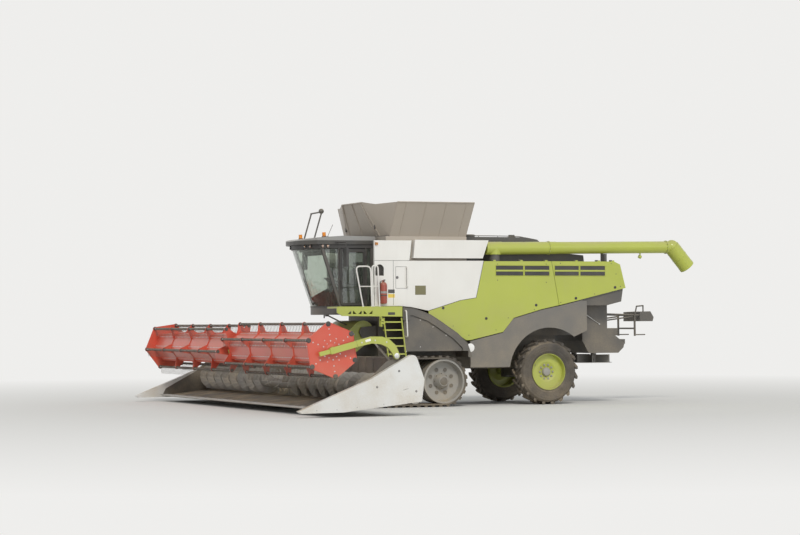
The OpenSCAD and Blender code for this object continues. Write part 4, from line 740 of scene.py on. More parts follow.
# %% [markdown]
# ## Cutting table: knife, clips and sheet ribs
# The knife is a row of triangular sections, one for each guard finger, that slide in the
# slots of the fingers. The table in front of the auger is one wide sheet, stiffened by
# pressed ribs. They are cheap shapes, repeated along the width.

# %% Knife sections and their hold-downs
KNIFE_X, KNIFE_Z, HALF_W, FINGER = 3.550, 0.170, 6.0, 0.1524
count = int((2 * HALF_W - 0.1) / FINGER)
row = (np.arange(count) - (count - 1) / 2) * FINGER
section = Shape().plate([(0.013, -0.072), (0.090, -0.008), (0.090, 0.008), (0.013, 0.072)],
                        KNIFE_Z + 0.0085, KNIFE_Z + 0.0115, axes="xy")
blades = Shape().repeat(section, [at(KNIFE_X, y + FINGER / 2, 0) for y in row[:-1]])
blades.build("knife_sections", "header", "bright_steel", smooth=20)
clip = Shape().block((-0.055, -0.022, 0.009), (0.035, 0.022, 0.017), 0.003, steps=1)
clip.bolts(0.008, 0.008, (0, 0, 1), (-0.030, 0, 0.017))
clips = Shape().repeat(clip, [at(KNIFE_X, y, KNIFE_Z) for y in row[2::4]])
clips.build("knife_clips", "header", "steel", smooth=20)

# %% Ribs of the table sheet
ribs = Shape()
for y in np.arange(-5.6, 5.61, 0.56):
    path = curve_through(at(3.44, y, 0.172), at(3.20, y, 0.1865), at(2.86, y, 0.2075), steps=3)
    ribs.tube(path, 0.006, sides=6)
ribs.build("table_ribs", "header", "steel")

# %% [markdown]
# ## Intake auger
# The auger tube is rolled sheet. Its middle carries the guide plates of its fingers, and
# welded collars stiffen it between the flights. The collars are a short profile turned about
# the axis of the tube; the guides lie on it in a spiral.

# %% Collars and finger guides
AUGER_X, AUGER_Z, AUGER_R = 2.450, 0.610, 0.1495
GUIDE_TURN, GUIDE_STEP, GUIDE_START = 105, 0.08, -0.6
collars = Shape()
for y in (-5.965, -4.2, -2.45, -0.72, 0.70, 2.43, 4.18, 5.94):
    collars.turned(at(AUGER_X, y, AUGER_Z), (0, 1, 0),
                   [(AUGER_R, 0), (0.156, 0.003), (0.156, 0.019), (AUGER_R, 0.022)], sides=28)
for i in range(16):
    guide = Shape().block((-0.028, -0.028, -0.004), (0.028, 0.028, 0.006), 0.004,
                          turn=turn_about((0, 1, 0), GUIDE_TURN * i), steps=1)
    collars.repeat(guide, on_circle(AUGER_X, AUGER_Z, AUGER_R + 0.0015, GUIDE_TURN * i,
                                    GUIDE_START + GUIDE_STEP * i))
collars.build("auger_collars", "intake_auger", "steel")

# %% [markdown]
# ## End dividers
# The outer cover of each divider is a moulded pale panel over a steel frame. It has a
# raised rim, a grip, three round latches and four bolts, and the place of the lettering
# stays bare. The rim is a tube carried along the outline, sunk half into the sheet.

# %% Divider rims, latches and grips
DIVIDER_Y = 6.1425
DIVIDER = [(1.60, 0.330), (3.28, 0.135), (4.16, 0.125), (2.655, 0.760), (1.815, 1.245),
           (1.735, 1.250), (1.665, 1.205), (1.520, 0.770)]
for side, name in SIDES:
    plane, way = DIVIDER_Y * side, (0, side, 0)
    rim = Shape()
    rim.loop(DIVIDER, plane, 0.0085)
    rim.build("divider_rim_" + name, "header", "pale_paint")
    trim = Shape()
    for x, z in ((2.05, 0.95), (2.55, 0.62), (1.66, 0.52)):
        trim.turned(at(x, plane - 0.001 * side, z), way,
                    [(0.030, 0), (0.030, 0.006), (0.024, 0.0095), (0.008, 0.0095)], sides=18)
    sunk = plane - 0.010 * side
    trim.tube(curve_through(at(1.80, sunk, 0.58), at(1.83, plane, 0.58), at(1.97, plane, 0.545),
                            at(2.00, sunk, 0.54)), 0.008, sides=8)
    trim.bolts(0.010, 0.008, way, *[at(x, plane, z) for x, z in
                                    ((3.45, 0.165), (3.9, 0.155), (3.0, 0.20), (2.4, 0.26))])
    trim.build("divider_trim_" + name, "header", "grey_plastic")

# %% Stiffeners and bolts of the table's back wall
WALL_X, STIFFENER_STEP = 2.121, 0.45
posts = Shape()
for start, end in ((-5.7, -0.75), (0.78, 5.8)):
    for y in np.arange(start, end, STIFFENER_STEP):
        posts.block(at(WALL_X - 0.010, y - 0.02, 0.93), at(WALL_X, y + 0.02, 1.215), 0.004,
                    steps=1)
        posts.bolts(0.010, 0.008, (1, 0, 0), at(WALL_X, y, 0.97), at(WALL_X, y, 1.18))
posts.build("wall_stiffeners", "header", "dark_paint")

# %% [markdown]
# ## Hoses
# Hydraulic hoses run along the reel arms and over the side of the feeder house. Each one is
# clipped at both ends, so it is a fixed part of the machine and no free cord: a smooth curve
# through its clips, with a crimped fitting at each end.

# %% Hoses and fittings
def hose(shape, fittings, *places, radius):
    """A hose through its clips, with a crimped metal sleeve at both ends."""
    path = curve_through(*[at(*p) for p in places])
    shape.tube(path, radius, sides=8)
    for end, inside in ((path[0], path[2]), (path[-1], path[-3])):
        way = (inside - end) / np.linalg.norm(inside - end)
        fittings.turned(end, way, [(radius * 0.8, -0.002), (radius * 1.45, 0),
                                   (radius * 1.45, 0.030), (radius * 1.15, 0.034)], sides=10)


ARM_Y, ARM_HALF = 6.041, 0.040
ARM_CLIPS = [(2.02, 1.33), (2.14, 1.50), (2.32, 1.615), (2.60, 1.63), (2.86, 1.56)]
for side, name in SIDES:
    pipes, sleeves = Shape(), Shape()
    inner, outer = (ARM_Y - 0.052) * side, (ARM_Y + ARM_HALF) * side
    for lift in (0.0, 0.026):
        hose(pipes, sleeves, *[(x, inner, z + lift) for x, z in ARM_CLIPS], radius=0.010)
    pipes.build("arm_hoses_" + name, "reel_arms", "hose_rubber")
    sleeves.build("arm_fittings_" + name, "reel_arms", "bright_steel")
    pins = Shape()
    pins.turned(at(2.070, outer, 1.270), (0, side, 0),
                [(0.058, 0), (0.058, 0.006), (0.040, 0.010), (0.024, 0.010), (0.024, 0.018),
                 (0.010, 0.018)], sides=20)
    pins.bolts(0.012, 0.010, (0, side, 0), *[at(x, outer, z) for x, z in (
        (2.30, 1.56), (2.56, 1.60), (2.86, 1.555))])
    pins.build("arm_pins_" + name, "reel_arms", "bright_steel")
    low, high = on_side(side, ARM_Y + 0.0395, ARM_Y + 0.0425)
    label = Shape().block(at(2.66, low, 1.575), at(2.78, high, 1.625), 0.001,
                          turn=turn_about((0, 1, 0), 14), steps=1)
    label.build("arm_label_" + name, "reel_arms", "blank_label")

# %% [markdown]
# ## Seat in the cab
# The seat is foam under woven cloth, on a pedestal with a rubber bellows. Each pad starts as
# a superellipsoid, a closed form between a box and a ball, then it is blown up a little as
# cloth, so that its faces crown and its sides pull in. One block could not show that softness.

# %% Pads of the seat
PAD_POWER, PAD_ROWS, PAD_COLUMNS = 0.32, 26, 52


def pad(low, high, tilt):
    """A superellipsoid: cosines and sines of two angles raised to a small power."""
    low, high = np.array(low, float), np.array(high, float)
    v = np.linspace(-np.pi / 2, np.pi / 2, PAD_ROWS)[:, None]
    u = full_turn(PAD_COLUMNS)[None]

    def power(value):
        return np.sign(value) * np.abs(value) ** PAD_POWER

    unit = np.stack([power(np.cos(v)) * power(np.cos(u)), power(np.cos(v)) * power(np.sin(u)),
                     np.broadcast_to(power(np.sin(v)), (PAD_ROWS, PAD_COLUMNS))], -1)
    points = unit * (high - low) / 2 @ turn_about((0, 1, 0), tilt).T + (high + low) / 2
    return Shape().add(points, closed_faces(PAD_ROWS, PAD_COLUMNS))


MESH_SIZE, PRESSURE, BLOW_FRAMES, MOST_TRAVEL = 0.006, 4, 20, 0.010


def blown_up(piece):
    """Remesh, swell by cloth pressure for twenty frames, then cap the travel."""
    before = piece.modifiers.new("even", "REMESH")
    before.mode, before.voxel_size, before.use_smooth_shade = "VOXEL", MESH_SIZE, True
    cover = bpy.context.evaluated_depsgraph_get()
    even = bpy.data.meshes.new_from_object(piece.evaluated_get(cover))
    piece.modifiers.remove(before)
    old, piece.data = piece.data, even
    bpy.data.meshes.remove(old)
    count = len(even.vertices)
    start = np.empty(count * 3)
    even.vertices.foreach_get("co", start)
    cloth_step = piece.modifiers.new("air", "CLOTH")
    cloth_step.settings.use_pressure = True
    cloth_step.settings.uniform_pressure_force = PRESSURE
    cloth_step.settings.effector_weights.gravity = 0
    cloth_step.point_cache.frame_start = 1
    cloth_step.point_cache.frame_end = BLOW_FRAMES
    for moment in range(1, BLOW_FRAMES + 1):
        scene.frame_set(moment)
    swollen = np.empty(count * 3)
    piece.evaluated_get(bpy.context.evaluated_depsgraph_get()).data.vertices.foreach_get(
        "co", swollen)
    piece.modifiers.remove(cloth_step)
    scene.frame_set(1)
    move = (swollen - start).reshape(-1, 3)
    length = np.linalg.norm(move, axis=1, keepdims=True)
    move *= np.minimum(1, MOST_TRAVEL / np.maximum(length, 1e-9))
    even.vertices.foreach_set("co", (start.reshape(-1, 3) + move).ravel())
    even.update()


def soft_pad(name, low, high, tilt=0.0, replaces=()):
    """One cushion of the seat: a pad, blown up and smoothed."""
    piece = pad(at(*low), at(*high), tilt).build(name, "machine", "seat_cloth", smooth=180,
                                                 replaces=replaces)
    blown_up(piece)
    piece.data.polygons.foreach_set("use_smooth", [True] * len(piece.data.polygons))
    if not piece.data.materials:
        piece.data.materials.append(finishes["seat_cloth"])
    rounder = piece.modifiers.new("smooth", "SUBSURF")
    rounder.levels = rounder.render_levels = 1


soft_pad("seat_cushion", (0.705, -0.235, 2.582), (1.135, 0.235, 2.668), -3,
         replaces=("operator_seat",))
soft_pad("seat_back", (0.635, -0.225, 2.70), (0.715, 0.225, 3.245), -5)
soft_pad("seat_headrest", (0.610, -0.130, 3.285), (0.668, 0.130, 3.405), -5)
for side, name in SIDES:
    y0, y1 = on_side(side, 0.235, 0.285)
    soft_pad("seat_armrest_" + name, (0.730, y0, 2.845), (1.010, y1, 2.885))

# %% Seat frame and bellows
seat_frame = Shape()
for k in range(5):
    fold = 0.012 if k % 2 else 0.0
    seat_frame.block(at(0.79 + fold, -0.17 + fold, 2.352 + 0.038 * k),
                     at(1.01 - fold, 0.17 - fold, 2.388 + 0.038 * k), 0.012)
seat_frame.block(at(0.72, -0.21, 2.545), at(1.10, 0.21, 2.578), 0.010)
seat_frame.plate(outline_at((0.612, 2.60), (0.648, 2.60), (0.628, 3.26), (0.600, 3.26)),
                 -0.20, 0.20)
for y in (-0.06, 0.06):
    seat_frame.tube([at(0.636, y, 3.20), at(0.634, y, 3.26), at(0.636, y, 3.32)], 0.006)
for side in (1, -1):
    seat_frame.tube(curve_through(at(0.66, 0.26 * side, 2.80), at(0.72, 0.26 * side, 2.83),
                                  at(0.80, 0.26 * side, 2.845)), 0.013)
seat_frame.block(at(0.80, -0.20, 2.341), at(1.00, 0.20, 2.352), 0.003)
seat_frame.build("seat_frame", "machine", "black_plastic")

# %% [markdown]
# ## Cab fittings
# Inside the cab are the console with its screen and lever, a rubber mat, a padded roof
# lining and the rear trim. They are seen through tinted glass, so their large forms count
# and their small marks do not.

# %% Console, screen, lever, mat and linings
console = Shape()
console.block(at(0.70, -0.525, 2.762), at(1.13, -0.295, 2.800), 0.014)
console.block(at(1.078, -0.575, 2.845), at(1.108, -0.285, 3.055), 0.010)
LEVER_Y = -0.38
console.tube(curve_through(at(1.02, LEVER_Y, 2.79), at(1.03, LEVER_Y, 2.86),
                           at(1.05, LEVER_Y, 2.91)), 0.014)
console.turned(at(1.055, LEVER_Y, 2.925), (0.2, 0, 1),
               [(0.012, -0.030), (0.026, -0.018), (0.030, 0.004), (0.024, 0.026),
                (0.010, 0.034)], sides=18)
for k in range(6):
    console.turned(at(0.80 + 0.035 * k, -0.44, 2.798), (0, 0, 1),
                   [(0.011, 0), (0.011, 0.008), (0.009, 0.010)], sides=12)
console.build("console", "machine", "grey_plastic")
screen = Shape().block(at(1.071, -0.555, 2.865), at(1.0785, -0.305, 3.035), 0.003)
screen.build("screen", "machine", "black_plastic")
mat = Shape().block(at(0.64, -0.87, 2.3405), at(1.42, 0.87, 2.350), 0.004)
mat.build("cab_mat", "machine", "tyre_rubber")
linings = Shape()
linings.block(at(0.62, -0.87, 3.650), at(1.74, 0.87, 3.699), 0.022)
linings.block(at(0.601, -0.80, 2.36), at(0.625, 0.80, 2.88), 0.010)
linings.block(at(0.70, -0.30, 3.615), at(1.10, 0.30, 3.655), 0.014)
linings.build("cab_linings", "machine", "grey_plastic")
blind = Shape()
blind.block(at(1.66, -0.70, 3.55), at(1.672, 0.70, 3.655), 0.003)
blind.line(0.018, at(1.668, -0.72, 3.64), at(1.668, 0.72, 3.64), sides=10)
blind.build("sun_blind", "machine", "blind_cloth")

# %% [markdown]
# ## Cab shell: seals, handle, wiper and lamps
# Black rubber seals frame each pane, and the roof carries its lamps in a dark band. A seal
# is a small tube along the outline of the pane: a flat strip would lose its edge light.

# %% Seals of the panes and the door
SEAL_BACK, PANE_LOW, PANE_TOP = 0.632, 2.345, 3.695
door_seal = Shape()
door_seal.loop([(0.826, 2.43), (1.352, 2.43), (1.346, 3.62), (0.826, 3.62)], 0.9855, 0.007)
door_seal.build("door_seal", "cab_door", "black_plastic")
seals = Shape()
seals.loop([(SEAL_BACK, PANE_LOW), (1.345, PANE_LOW), (1.788, PANE_TOP), (SEAL_BACK, PANE_TOP)],
           -0.942, 0.009)
seals.loop([(1.428, 2.62), (1.785, PANE_TOP), (1.428, PANE_TOP)], 0.942, 0.008)
seals.build("pane_seals", "machine", "black_plastic")
GRIP_X, GRIP_FOOT, GRIP_OUT = 1.372, 1.012, 1.030
grip = Shape()
grip.tube(curve_through(at(GRIP_X, GRIP_FOOT, 2.79), at(GRIP_X, GRIP_OUT, 2.82),
                        at(GRIP_X, GRIP_OUT, 2.90), at(GRIP_X, GRIP_FOOT, 2.93)), 0.011)
grip.build("door_grip", "cab_door", "black_plastic")

# %% Wiper and trim of the windscreen
SCREEN_HALF, SCREEN_Z, SCREEN_H, SCREEN_FACE = 0.95, 2.34, 1.36, 0.008


def screen_point(y, z, proud):
    """A place just in front of the windscreen: its bow is an arc that leans with height."""
    share = (z - SCREEN_Z) / SCREEN_H
    foot, bow = 1.401 + 0.450 * share, 0.220 + 0.040 * share
    radius = (SCREEN_HALF ** 2 + bow ** 2) / (2 * bow)
    arc = math.sqrt(radius ** 2 - y * y)
    return at(foot + bow - radius + arc + SCREEN_FACE + proud, y, z)


WIPER_Y, WIPER_Z = -0.10, 2.42
wiper = Shape()
wiper.tube([screen_point(WIPER_Y, z, 0.035) for z in np.linspace(WIPER_Z, 3.02, 6)], 0.009)
wiper.tube([screen_point(WIPER_Y + 0.02 * k, z, 0.016) for k, z in
            enumerate(np.linspace(2.62, 3.42, 9))], 0.007)
wiper.turned(screen_point(WIPER_Y, WIPER_Z, 0.0), (1, 0, 0.3),
             [(0.030, -0.005), (0.030, 0.028), (0.018, 0.040)], sides=16)
wiper.build("wiper", "machine", "black_plastic")
trim = Shape()
across = np.linspace(-0.93, 0.93, 25)
trim.tube([screen_point(y, 2.352, 0.004) for y in across], 0.012)
trim.tube([screen_point(y, 3.690, 0.002) for y in across], 0.010)
for y in (-0.945, 0.945):
    trim.tube([screen_point(y, z, -0.004) for z in np.linspace(2.35, 3.69, 12)], 0.012)
trim.build("windscreen_trim", "machine", "black_plastic")

# %% Dark band under the roof
ROOF_HALF, ROOF_BOW, ROOF_FRONT, ROOF_BACK = 0.954, 0.260, 1.880, 0.575
BAND_R = (ROOF_HALF ** 2 + ROOF_BOW ** 2) / (2 * ROOF_BOW)
BAND_X = ROOF_FRONT + ROOF_BOW - BAND_R
bend = math.asin(ROOF_HALF / BAND_R)
arc_line = [(BAND_X + (BAND_R + 0.003) * math.cos(a), (BAND_R + 0.003) * math.sin(a))
            for a in np.linspace(-bend, bend, 31)]
outline = [(ROOF_BACK, -ROOF_HALF - 0.003), *arc_line, (ROOF_BACK, ROOF_HALF + 0.003)]
upper = np.array([at(x, y, 3.868) for x, y in outline])
lower = np.array([at(x, y, 3.703) for x, y in outline])
inner = np.array([at(x - 0.006 * (x > 1.0), y * 0.995, 0) for x, y in outline])
rows = np.stack([lower, upper, np.column_stack([inner[:, :2], upper[:, 2]]),
                 np.column_stack([inner[:, :2], lower[:, 2]])])
n = len(outline)
under = [(k, k + 1, 3 * n + k + 1, 3 * n + k) for k in range(n - 1)]
band = Shape().add(rows, [*grid_faces(4, n, wrap=False), *under])
band.build("roof_band", "machine", "black_plastic")

# %% Lenses and hoods of the work lamps
LENS = [(0.031, 0), (0.031, 0.004), (0.024, 0.009), (0.010, 0.011)]
HOOD = [(0.040, 0), (0.041, 0.026), (0.034, 0.026), (0.032, 0.0205)]
LAMP_Z, LAMP_OUT = 3.745, 0.024
lenses, hoods = Shape(), Shape()
step = bend / 5
for side in (1, -1):
    lamps = []
    for i in (2.5, 3.5):
        a = i * step * side
        way = np.array((math.cos(a), math.sin(a), 0))
        lamps.append((at(BAND_X, 0, LAMP_Z) + way * (BAND_R * math.cos(step / 2) + LAMP_OUT), way))
    for x in (1.820, 1.690):
        lamps.append((at(x, (ROOF_HALF + LAMP_OUT) * side, LAMP_Z), np.array((0, side, 0))))
    for base, way in lamps:
        lenses.turned(base, way, LENS)
        hoods.turned(base - 0.02 * way, way, HOOD)
lenses.build("lamp_lenses", "machine", "clear_lens")
hoods.build("lamp_hoods", "machine", "black_plastic")

# %% Mirror glasses and beacon feet
MIRROR_Y, MIRROR_HALF = 1.380, 0.095
glass, feet = Shape(), Shape()
for side in (1, -1):
    y = MIRROR_Y * side
    for low, high in ((3.42, 3.685), (3.265, 3.395)):
        glass.block(at(1.3715, y - MIRROR_HALF, low), at(1.3745, y + MIRROR_HALF, high), 0.002)
    feet.turned(at(1.721, 0.800 * side, 3.960), (0.067, 0, 1),
                [(0.060, 0), (0.060, 0.012), (0.046, 0.020), (0.046, 0.028)])
glass.build("mirror_glass", "machine", "bright_steel")
feet.build("beacon_feet", "machine", "black_plastic")

# %% [markdown]
# ## Side doors and panels
# The side doors are pressed sheets with two banks of louvres. A fine dark mesh lies over each
# bank, on a solid dark sheet that is painted shade for the louvre openings, and a light bar
# crosses it. Latches and screws are small, but without them a door reads as painted wood.
# The panels meet at dark seams, so a thin rubber strip is laid along each joint; a groove cut
# in the sheet would need the sheet itself rebuilt.

# %% Louvre meshes on sheets of painted shade, bars and frames
PANEL_Y = 1.550
LOUVRE_LOW, LOUVRE_HIGH, WIRE_STEP, WIRE = 3.064, 3.286, 0.022, 0.006
BANKS = {"front": [(-3.015, -2.310), (-3.700, -3.060)],
         "rear": [(-4.480, -3.850), (-5.180, -4.525)]}
for side, side_name in SIDES:
    wires = on_side(side, PANEL_Y + 0.0012, PANEL_Y + 0.0022)
    shade_sheet = on_side(side, PANEL_Y + 0.0003, PANEL_Y + 0.0012)
    bar = on_side(side, PANEL_Y + 0.0005, PANEL_Y + 0.0060)
    middle = (LOUVRE_LOW + LOUVRE_HIGH) / 2
    for place, banks in BANKS.items():
        body = "side_door_%s_%s" % (place, side_name)
        mesh_and_shade_sheet, bars = Shape(), Shape()
        for start, end in banks:
            # A solid dark sheet fills each bank under the wires: painted shade of the louvre
            # openings.
            mesh_and_shade_sheet.block(at(start, shade_sheet[0], LOUVRE_LOW), at(end, shade_sheet[1], LOUVRE_HIGH),
                              0.0005, steps=1)
            for x in np.arange(start + 0.02, end - 0.01, WIRE_STEP):
                mesh_and_shade_sheet.block(at(x, wires[0], LOUVRE_LOW),
                                  at(x + WIRE, wires[1], LOUVRE_HIGH), 0.001, steps=1)
            for z in np.arange(LOUVRE_LOW + 0.012, LOUVRE_HIGH, WIRE_STEP):
                mesh_and_shade_sheet.block(at(start, wires[0], z), at(end, wires[1], z + WIRE), 0.001,
                                  steps=1)
            bars.block(at(start, bar[0], middle - 0.020), at(end, bar[1], middle + 0.020),
                       0.002, steps=1)
            left, right = start - 0.008, end + 0.008
            low, high = LOUVRE_LOW - 0.012, LOUVRE_HIGH + 0.012
            bars.loop([(left, low), (right, low), (right, high), (left, high)],
                      (PANEL_Y + 0.0025) * side, 0.006)
        # Each _mesh object holds the wires and the sheet of painted shade under them.
        mesh_and_shade_sheet.build(body + "_mesh", body, "black_plastic", smooth=20)
        bars.build(body + "_louvre_frames", body, "lime_paint")

# %% Latches and screws of the doors
LATCHES = {"front": [(-2.05, 2.05), (-3.35, 2.36), (-0.95, 2.30)],
           "rear": [(-4.40, 2.52), (-5.45, 2.78)]}
SCREWS = {"front": [(-1.6, 1.66), (-2.3, 1.78), (-2.62, 2.06), (-3.3, 2.25), (-1.2, 1.88),
                    (-2.35, 2.95), (-3.62, 2.90), (-2.35, 3.33), (-3.62, 3.33)],
          "rear": [(-4.0, 2.42), (-4.9, 2.62), (-5.60, 2.80), (-4.0, 3.35), (-5.35, 3.35),
                   (-5.48, 3.10)]}


def latch(shape, x, z, side):
    """A round paddle latch: a dished ring with a flat key in it."""
    shape.turned(at(x, (PANEL_Y - 0.001) * side, z), (0, side, 0),
                 [(0.034, 0), (0.034, 0.005), (0.027, 0.008), (0.023, 0.003), (0.0, 0.003)],
                 sides=20)
    low, high = on_side(side, PANEL_Y, PANEL_Y + 0.012)
    shape.block(at(x - 0.020, low, z - 0.005), at(x + 0.020, high, z + 0.005), 0.002, steps=1)


for side, side_name in SIDES:
    for place, spots in LATCHES.items():
        body = "side_door_%s_%s" % (place, side_name)
        small = Shape()
        for x, z in spots:
            latch(small, x, z, side)
        small.bolts(0.008, 0.006, (0, side, 0), *[at(x, PANEL_Y * side, z)
                                                  for x, z in SCREWS[place]])
        small.build(body + "_latches", body, "black_plastic", smooth=25)

# %% Seams of the fixed panels
SEAMS = ([(-0.575, 2.235), (-1.390, 2.477), (-1.795, 2.537), (-1.995, 3.400)],
         [(0.776, 2.36), (0.776, 3.10), (0.776, 3.86)],
         [(-0.15, 3.404), (0.30, 3.404), (0.77, 3.404)],
         [(0.30, 3.40), (0.30, 2.95), (0.30, 2.37)],
         [(-0.11, 3.40), (-0.14, 3.62), (-0.165, 3.86)])
HATCH = [(-0.030, 2.760), (0.240, 2.760), (0.240, 3.260), (-0.030, 3.260)]
seams, hatch = Shape(), Shape()
for side in (1, -1):
    for path in SEAMS:
        points = [at(x, (PANEL_Y + 0.0005) * side, z) for x, z in path]
        for a, b in zip(points, points[1:]):
            seams.line(0.004, a, b, sides=6)
    hatch.loop(HATCH, (PANEL_Y + 0.0015) * side, 0.004)
    latch(hatch, 0.205, 3.01, side)
seams.build("panel_seams", "machine", "black_plastic")
hatch.build("hatch_rims", "machine", "grey_plastic")

# %% Grille of the cab air filter: an arched frame with a mesh of round bars
ARCH_X, ARCH_Z, ARCH_R, ARCH_FOOT = 0.640, 3.210, 0.095, 3.060
grille = Shape()
for side in (1, -1):
    y = (PANEL_Y - 0.005) * side
    arch = [(ARCH_X - ARCH_R, ARCH_FOOT), (ARCH_X + ARCH_R, ARCH_FOOT)]
    arch += [(ARCH_X + ARCH_R * math.cos(a), ARCH_Z + ARCH_R * math.sin(a))
             for a in np.linspace(0, np.pi, 15)]
    grille.loop(arch, (PANEL_Y + 0.001) * side, 0.008)
    for z in np.arange(3.072, 3.300, 0.018):
        half = math.sqrt(ARCH_R ** 2 - max(z - ARCH_Z, 0) ** 2)
        grille.line(0.003, at(ARCH_X - half, y, z), at(ARCH_X + half, y, z), sides=6)
    low, high = on_side(side, 1.5115, 1.518)
    grille.block(at(0.535, low, 3.05), at(0.745, high, 3.315), 0.003)
grille.build("filter_grille", "machine", "black_plastic")

# %% [markdown]
# ## Blank signs
# Stickers and plates stay where the machine carries them, but bare: a thin rounded plate in
# its colour, standing a millimetre proud, and nothing drawn on it.

# %% Blank stickers and plates
SIGNS = {"blank_yellow": (0.35, 2.585, 0.165, 0.085), "blank_plate": (0.35, 2.690, 0.165, 0.085),
         "blank_olive": (-0.38, 2.715, 0.27, 0.215)}
for finish_name, (x, z, w, h) in SIGNS.items():
    sign = Shape().block(at(x - w / 2, PANEL_Y - 0.0005, z - h / 2),
                         at(x + w / 2, PANEL_Y + 0.0015, z + h / 2), 0.0008, steps=1)
    sign.build("sign_" + finish_name, "machine", finish_name)

# %% Blank round sign of the base panel and blank plate of the platform's edge
SIGN_R = 0.100
disc = Shape()
disc.turned(at(-1.642, PANEL_Y - 0.0005, 1.368), (0, 1, 0),
            [(SIGN_R, 0), (SIGN_R, 0.002), (SIGN_R - 0.002, 0.0025), (0.0, 0.0025)], sides=40)
disc.build("round_blank_sign", "machine", "blank_label")
plate = Shape().block(at(0.344, 1.7495, 2.145), at(0.517, 1.7515, 2.205), 0.0008, steps=1)
plate.build("platform_plate", "machine", "black_plastic")

# %% [markdown]
# ## Grain tank and engine deck
# The tank flaps are thin sheets stiffened by folded ribs. On the deck behind them are the
# cooling fan's screen, the air cleaner, the exhaust and a rail.

# %% Folded ribs and latches of the flaps
FLAP_Z, FLAP_TOP, FLAP_FRONT, FLAP_BACK = 3.975, 4.745, 0.34, -1.58
flap_ribs, flap_latches = Shape(), Shape()
for side in (1, -1):
    foot_f, head_f = at(FLAP_FRONT, 1.452 * side, FLAP_Z), at(FLAP_FRONT, 1.932 * side, FLAP_TOP)
    foot_b = at(FLAP_BACK, 1.452 * side, FLAP_Z)
    head_b = at(FLAP_BACK - 0.02, 1.932 * side, FLAP_TOP)
    for share in (0.12, 0.38, 0.64, 0.90):
        flap_ribs.line(0.011, between(foot_f, foot_b, share), between(head_f, head_b, share))
    flap_ribs.line(0.012, head_f, head_b)
    flap_ribs.line(0.006, head_f, foot_f)
    flap_ribs.line(0.006, head_b, foot_b)
    top, foot = at(0.722, 0.640 * side, 4.775), at(0.423, 1.050 * side, 3.972)
    flap_ribs.line(0.006, top, foot)
    flap_ribs.line(0.006, at(-1.922, 0.640 * side, 4.775), at(-1.583, 1.050 * side, 3.972))
    spot = between(top, foot, 0.72)
    flap_latches.block(spot - (0.020, 0.020, 0.050), spot + (0.020, 0.020, 0.050), 0.006)
for foot_x, top_x in ((0.424, 0.733), (-1.584, -1.933)):
    for y in (-0.6, 0.0, 0.6):
        flap_ribs.line(0.010, at(foot_x, y * 1.4, FLAP_Z), at(top_x, y, 4.772))
    flap_ribs.line(0.012, at(top_x, -0.64, 4.778), at(top_x, 0.64, 4.778))
flap_ribs.build("flap_ribs", "machine", "tank_paint")
flap_latches.build("flap_latches", "machine", "black_plastic")

# %% Flight of the cross auger in the tank and the rim seal
FLIGHT_START, FLIGHT_RUN, FLIGHT_TURNS, FLIGHT_Z, FLIGHT_POINTS = 0.36, 1.90, 4.5, 2.900, 150
run = np.linspace(0, 1, FLIGHT_POINTS)
spin = 2 * np.pi * FLIGHT_TURNS * run
rings = []
for radius, shift in ((0.112, -0.004), (0.175, -0.002), (0.175, 0.002), (0.112, 0.004)):
    rings.append(np.stack([FLIGHT_START - FLIGHT_RUN * run + shift + TRACK_MIDDLE,
                           radius * np.sin(spin), FLIGHT_Z + radius * np.cos(spin)], -1))
flight = Shape().add(np.stack(rings, 1), closed_faces(FLIGHT_POINTS, 4))
flight.build("tank_auger_flight", "machine", "steel")
seal = Shape()
for side in (1, -1):
    seal.line(0.014, at(0.38, 1.43 * side, 3.972), at(-1.56, 1.43 * side, 3.972))
for x in (0.42, -1.58):
    seal.line(0.014, at(x, -1.40, 3.972), at(x, 1.40, 3.972))
seal.build("tank_rim_seal", "machine", "black_plastic")

# %% Fan screen, air cleaner, exhaust and rail of the deck
FAN_X, FAN_Y, DECK_Z = -2.55, -0.35, 3.984


def fan_at(radius, angle, z):
    """A place on a level circle round the middle of the fan screen."""
    return at(FAN_X + radius * math.cos(angle), FAN_Y + radius * math.sin(angle), z)


fan = Shape()
for k in range(9):
    fan.tube([fan_at(0.06 + 0.052 * k, a, DECK_Z + 0.006)
              for a in np.linspace(0, 2 * np.pi, 37)], 0.006, sides=6)
for a in np.radians(22.5 * np.arange(8)):
    fan.line(0.006, fan_at(0.05, a, DECK_Z + 0.008), fan_at(0.48, a, DECK_Z + 0.008), sides=6)
fan.turned(at(FAN_X, FAN_Y, DECK_Z), (0, 0, 1), [
    (0.530, 0), (0.530, 0.012), (0.490, 0.020), (0.486, 0.004), (0.0, 0.004)], sides=48)
fan.build("fan_screen", "machine", "black_plastic")
stack = Shape()
stack.turned(at(-3.15, 0.62, DECK_Z), (0, 0, 1), [
    (0.10, 0), (0.10, 0.02), (0.075, 0.03), (0.075, 0.07), (0.068, 0.07), (0.066, 0.03),
    (0.0, 0.03)], sides=28)
stack.turned(at(-2.05, 0.55, DECK_Z), (0, 0, 1), [
    (0.15, 0), (0.15, 0.04), (0.165, 0.05), (0.165, 0.06), (0.12, 0.075), (0.0, 0.080)],
    sides=32)
stack.build("exhaust_and_air_cleaner", "machine", "dark_paint")
rail = Shape()
for side in (1, -1):
    y = 1.03 * side
    rail.tube(curve_through(*[at(x, y, DECK_Z + lift) for x, lift in (
        (-1.66, 0), (-1.70, 0.022), (-1.90, 0.028), (-2.60, 0.028), (-3.10, 0.020),
        (-3.27, 0))]), 0.009)
    for x in (-2.1, -2.6):
        rail.line(0.007, at(x, y, DECK_Z - 0.002), at(x, y, DECK_Z + 0.028))
rail.build("deck_rail", "machine", "dark_paint")

# %% [markdown]
# ## Unloading tube
# The tube is bolted together from two lengths with flanges. Its spout ends in a rolled lip,
# and a lamp shines on the stream of grain. Each flange gets its ring of bolts; the lip is a
# short turned profile that hangs over the spout's edge.

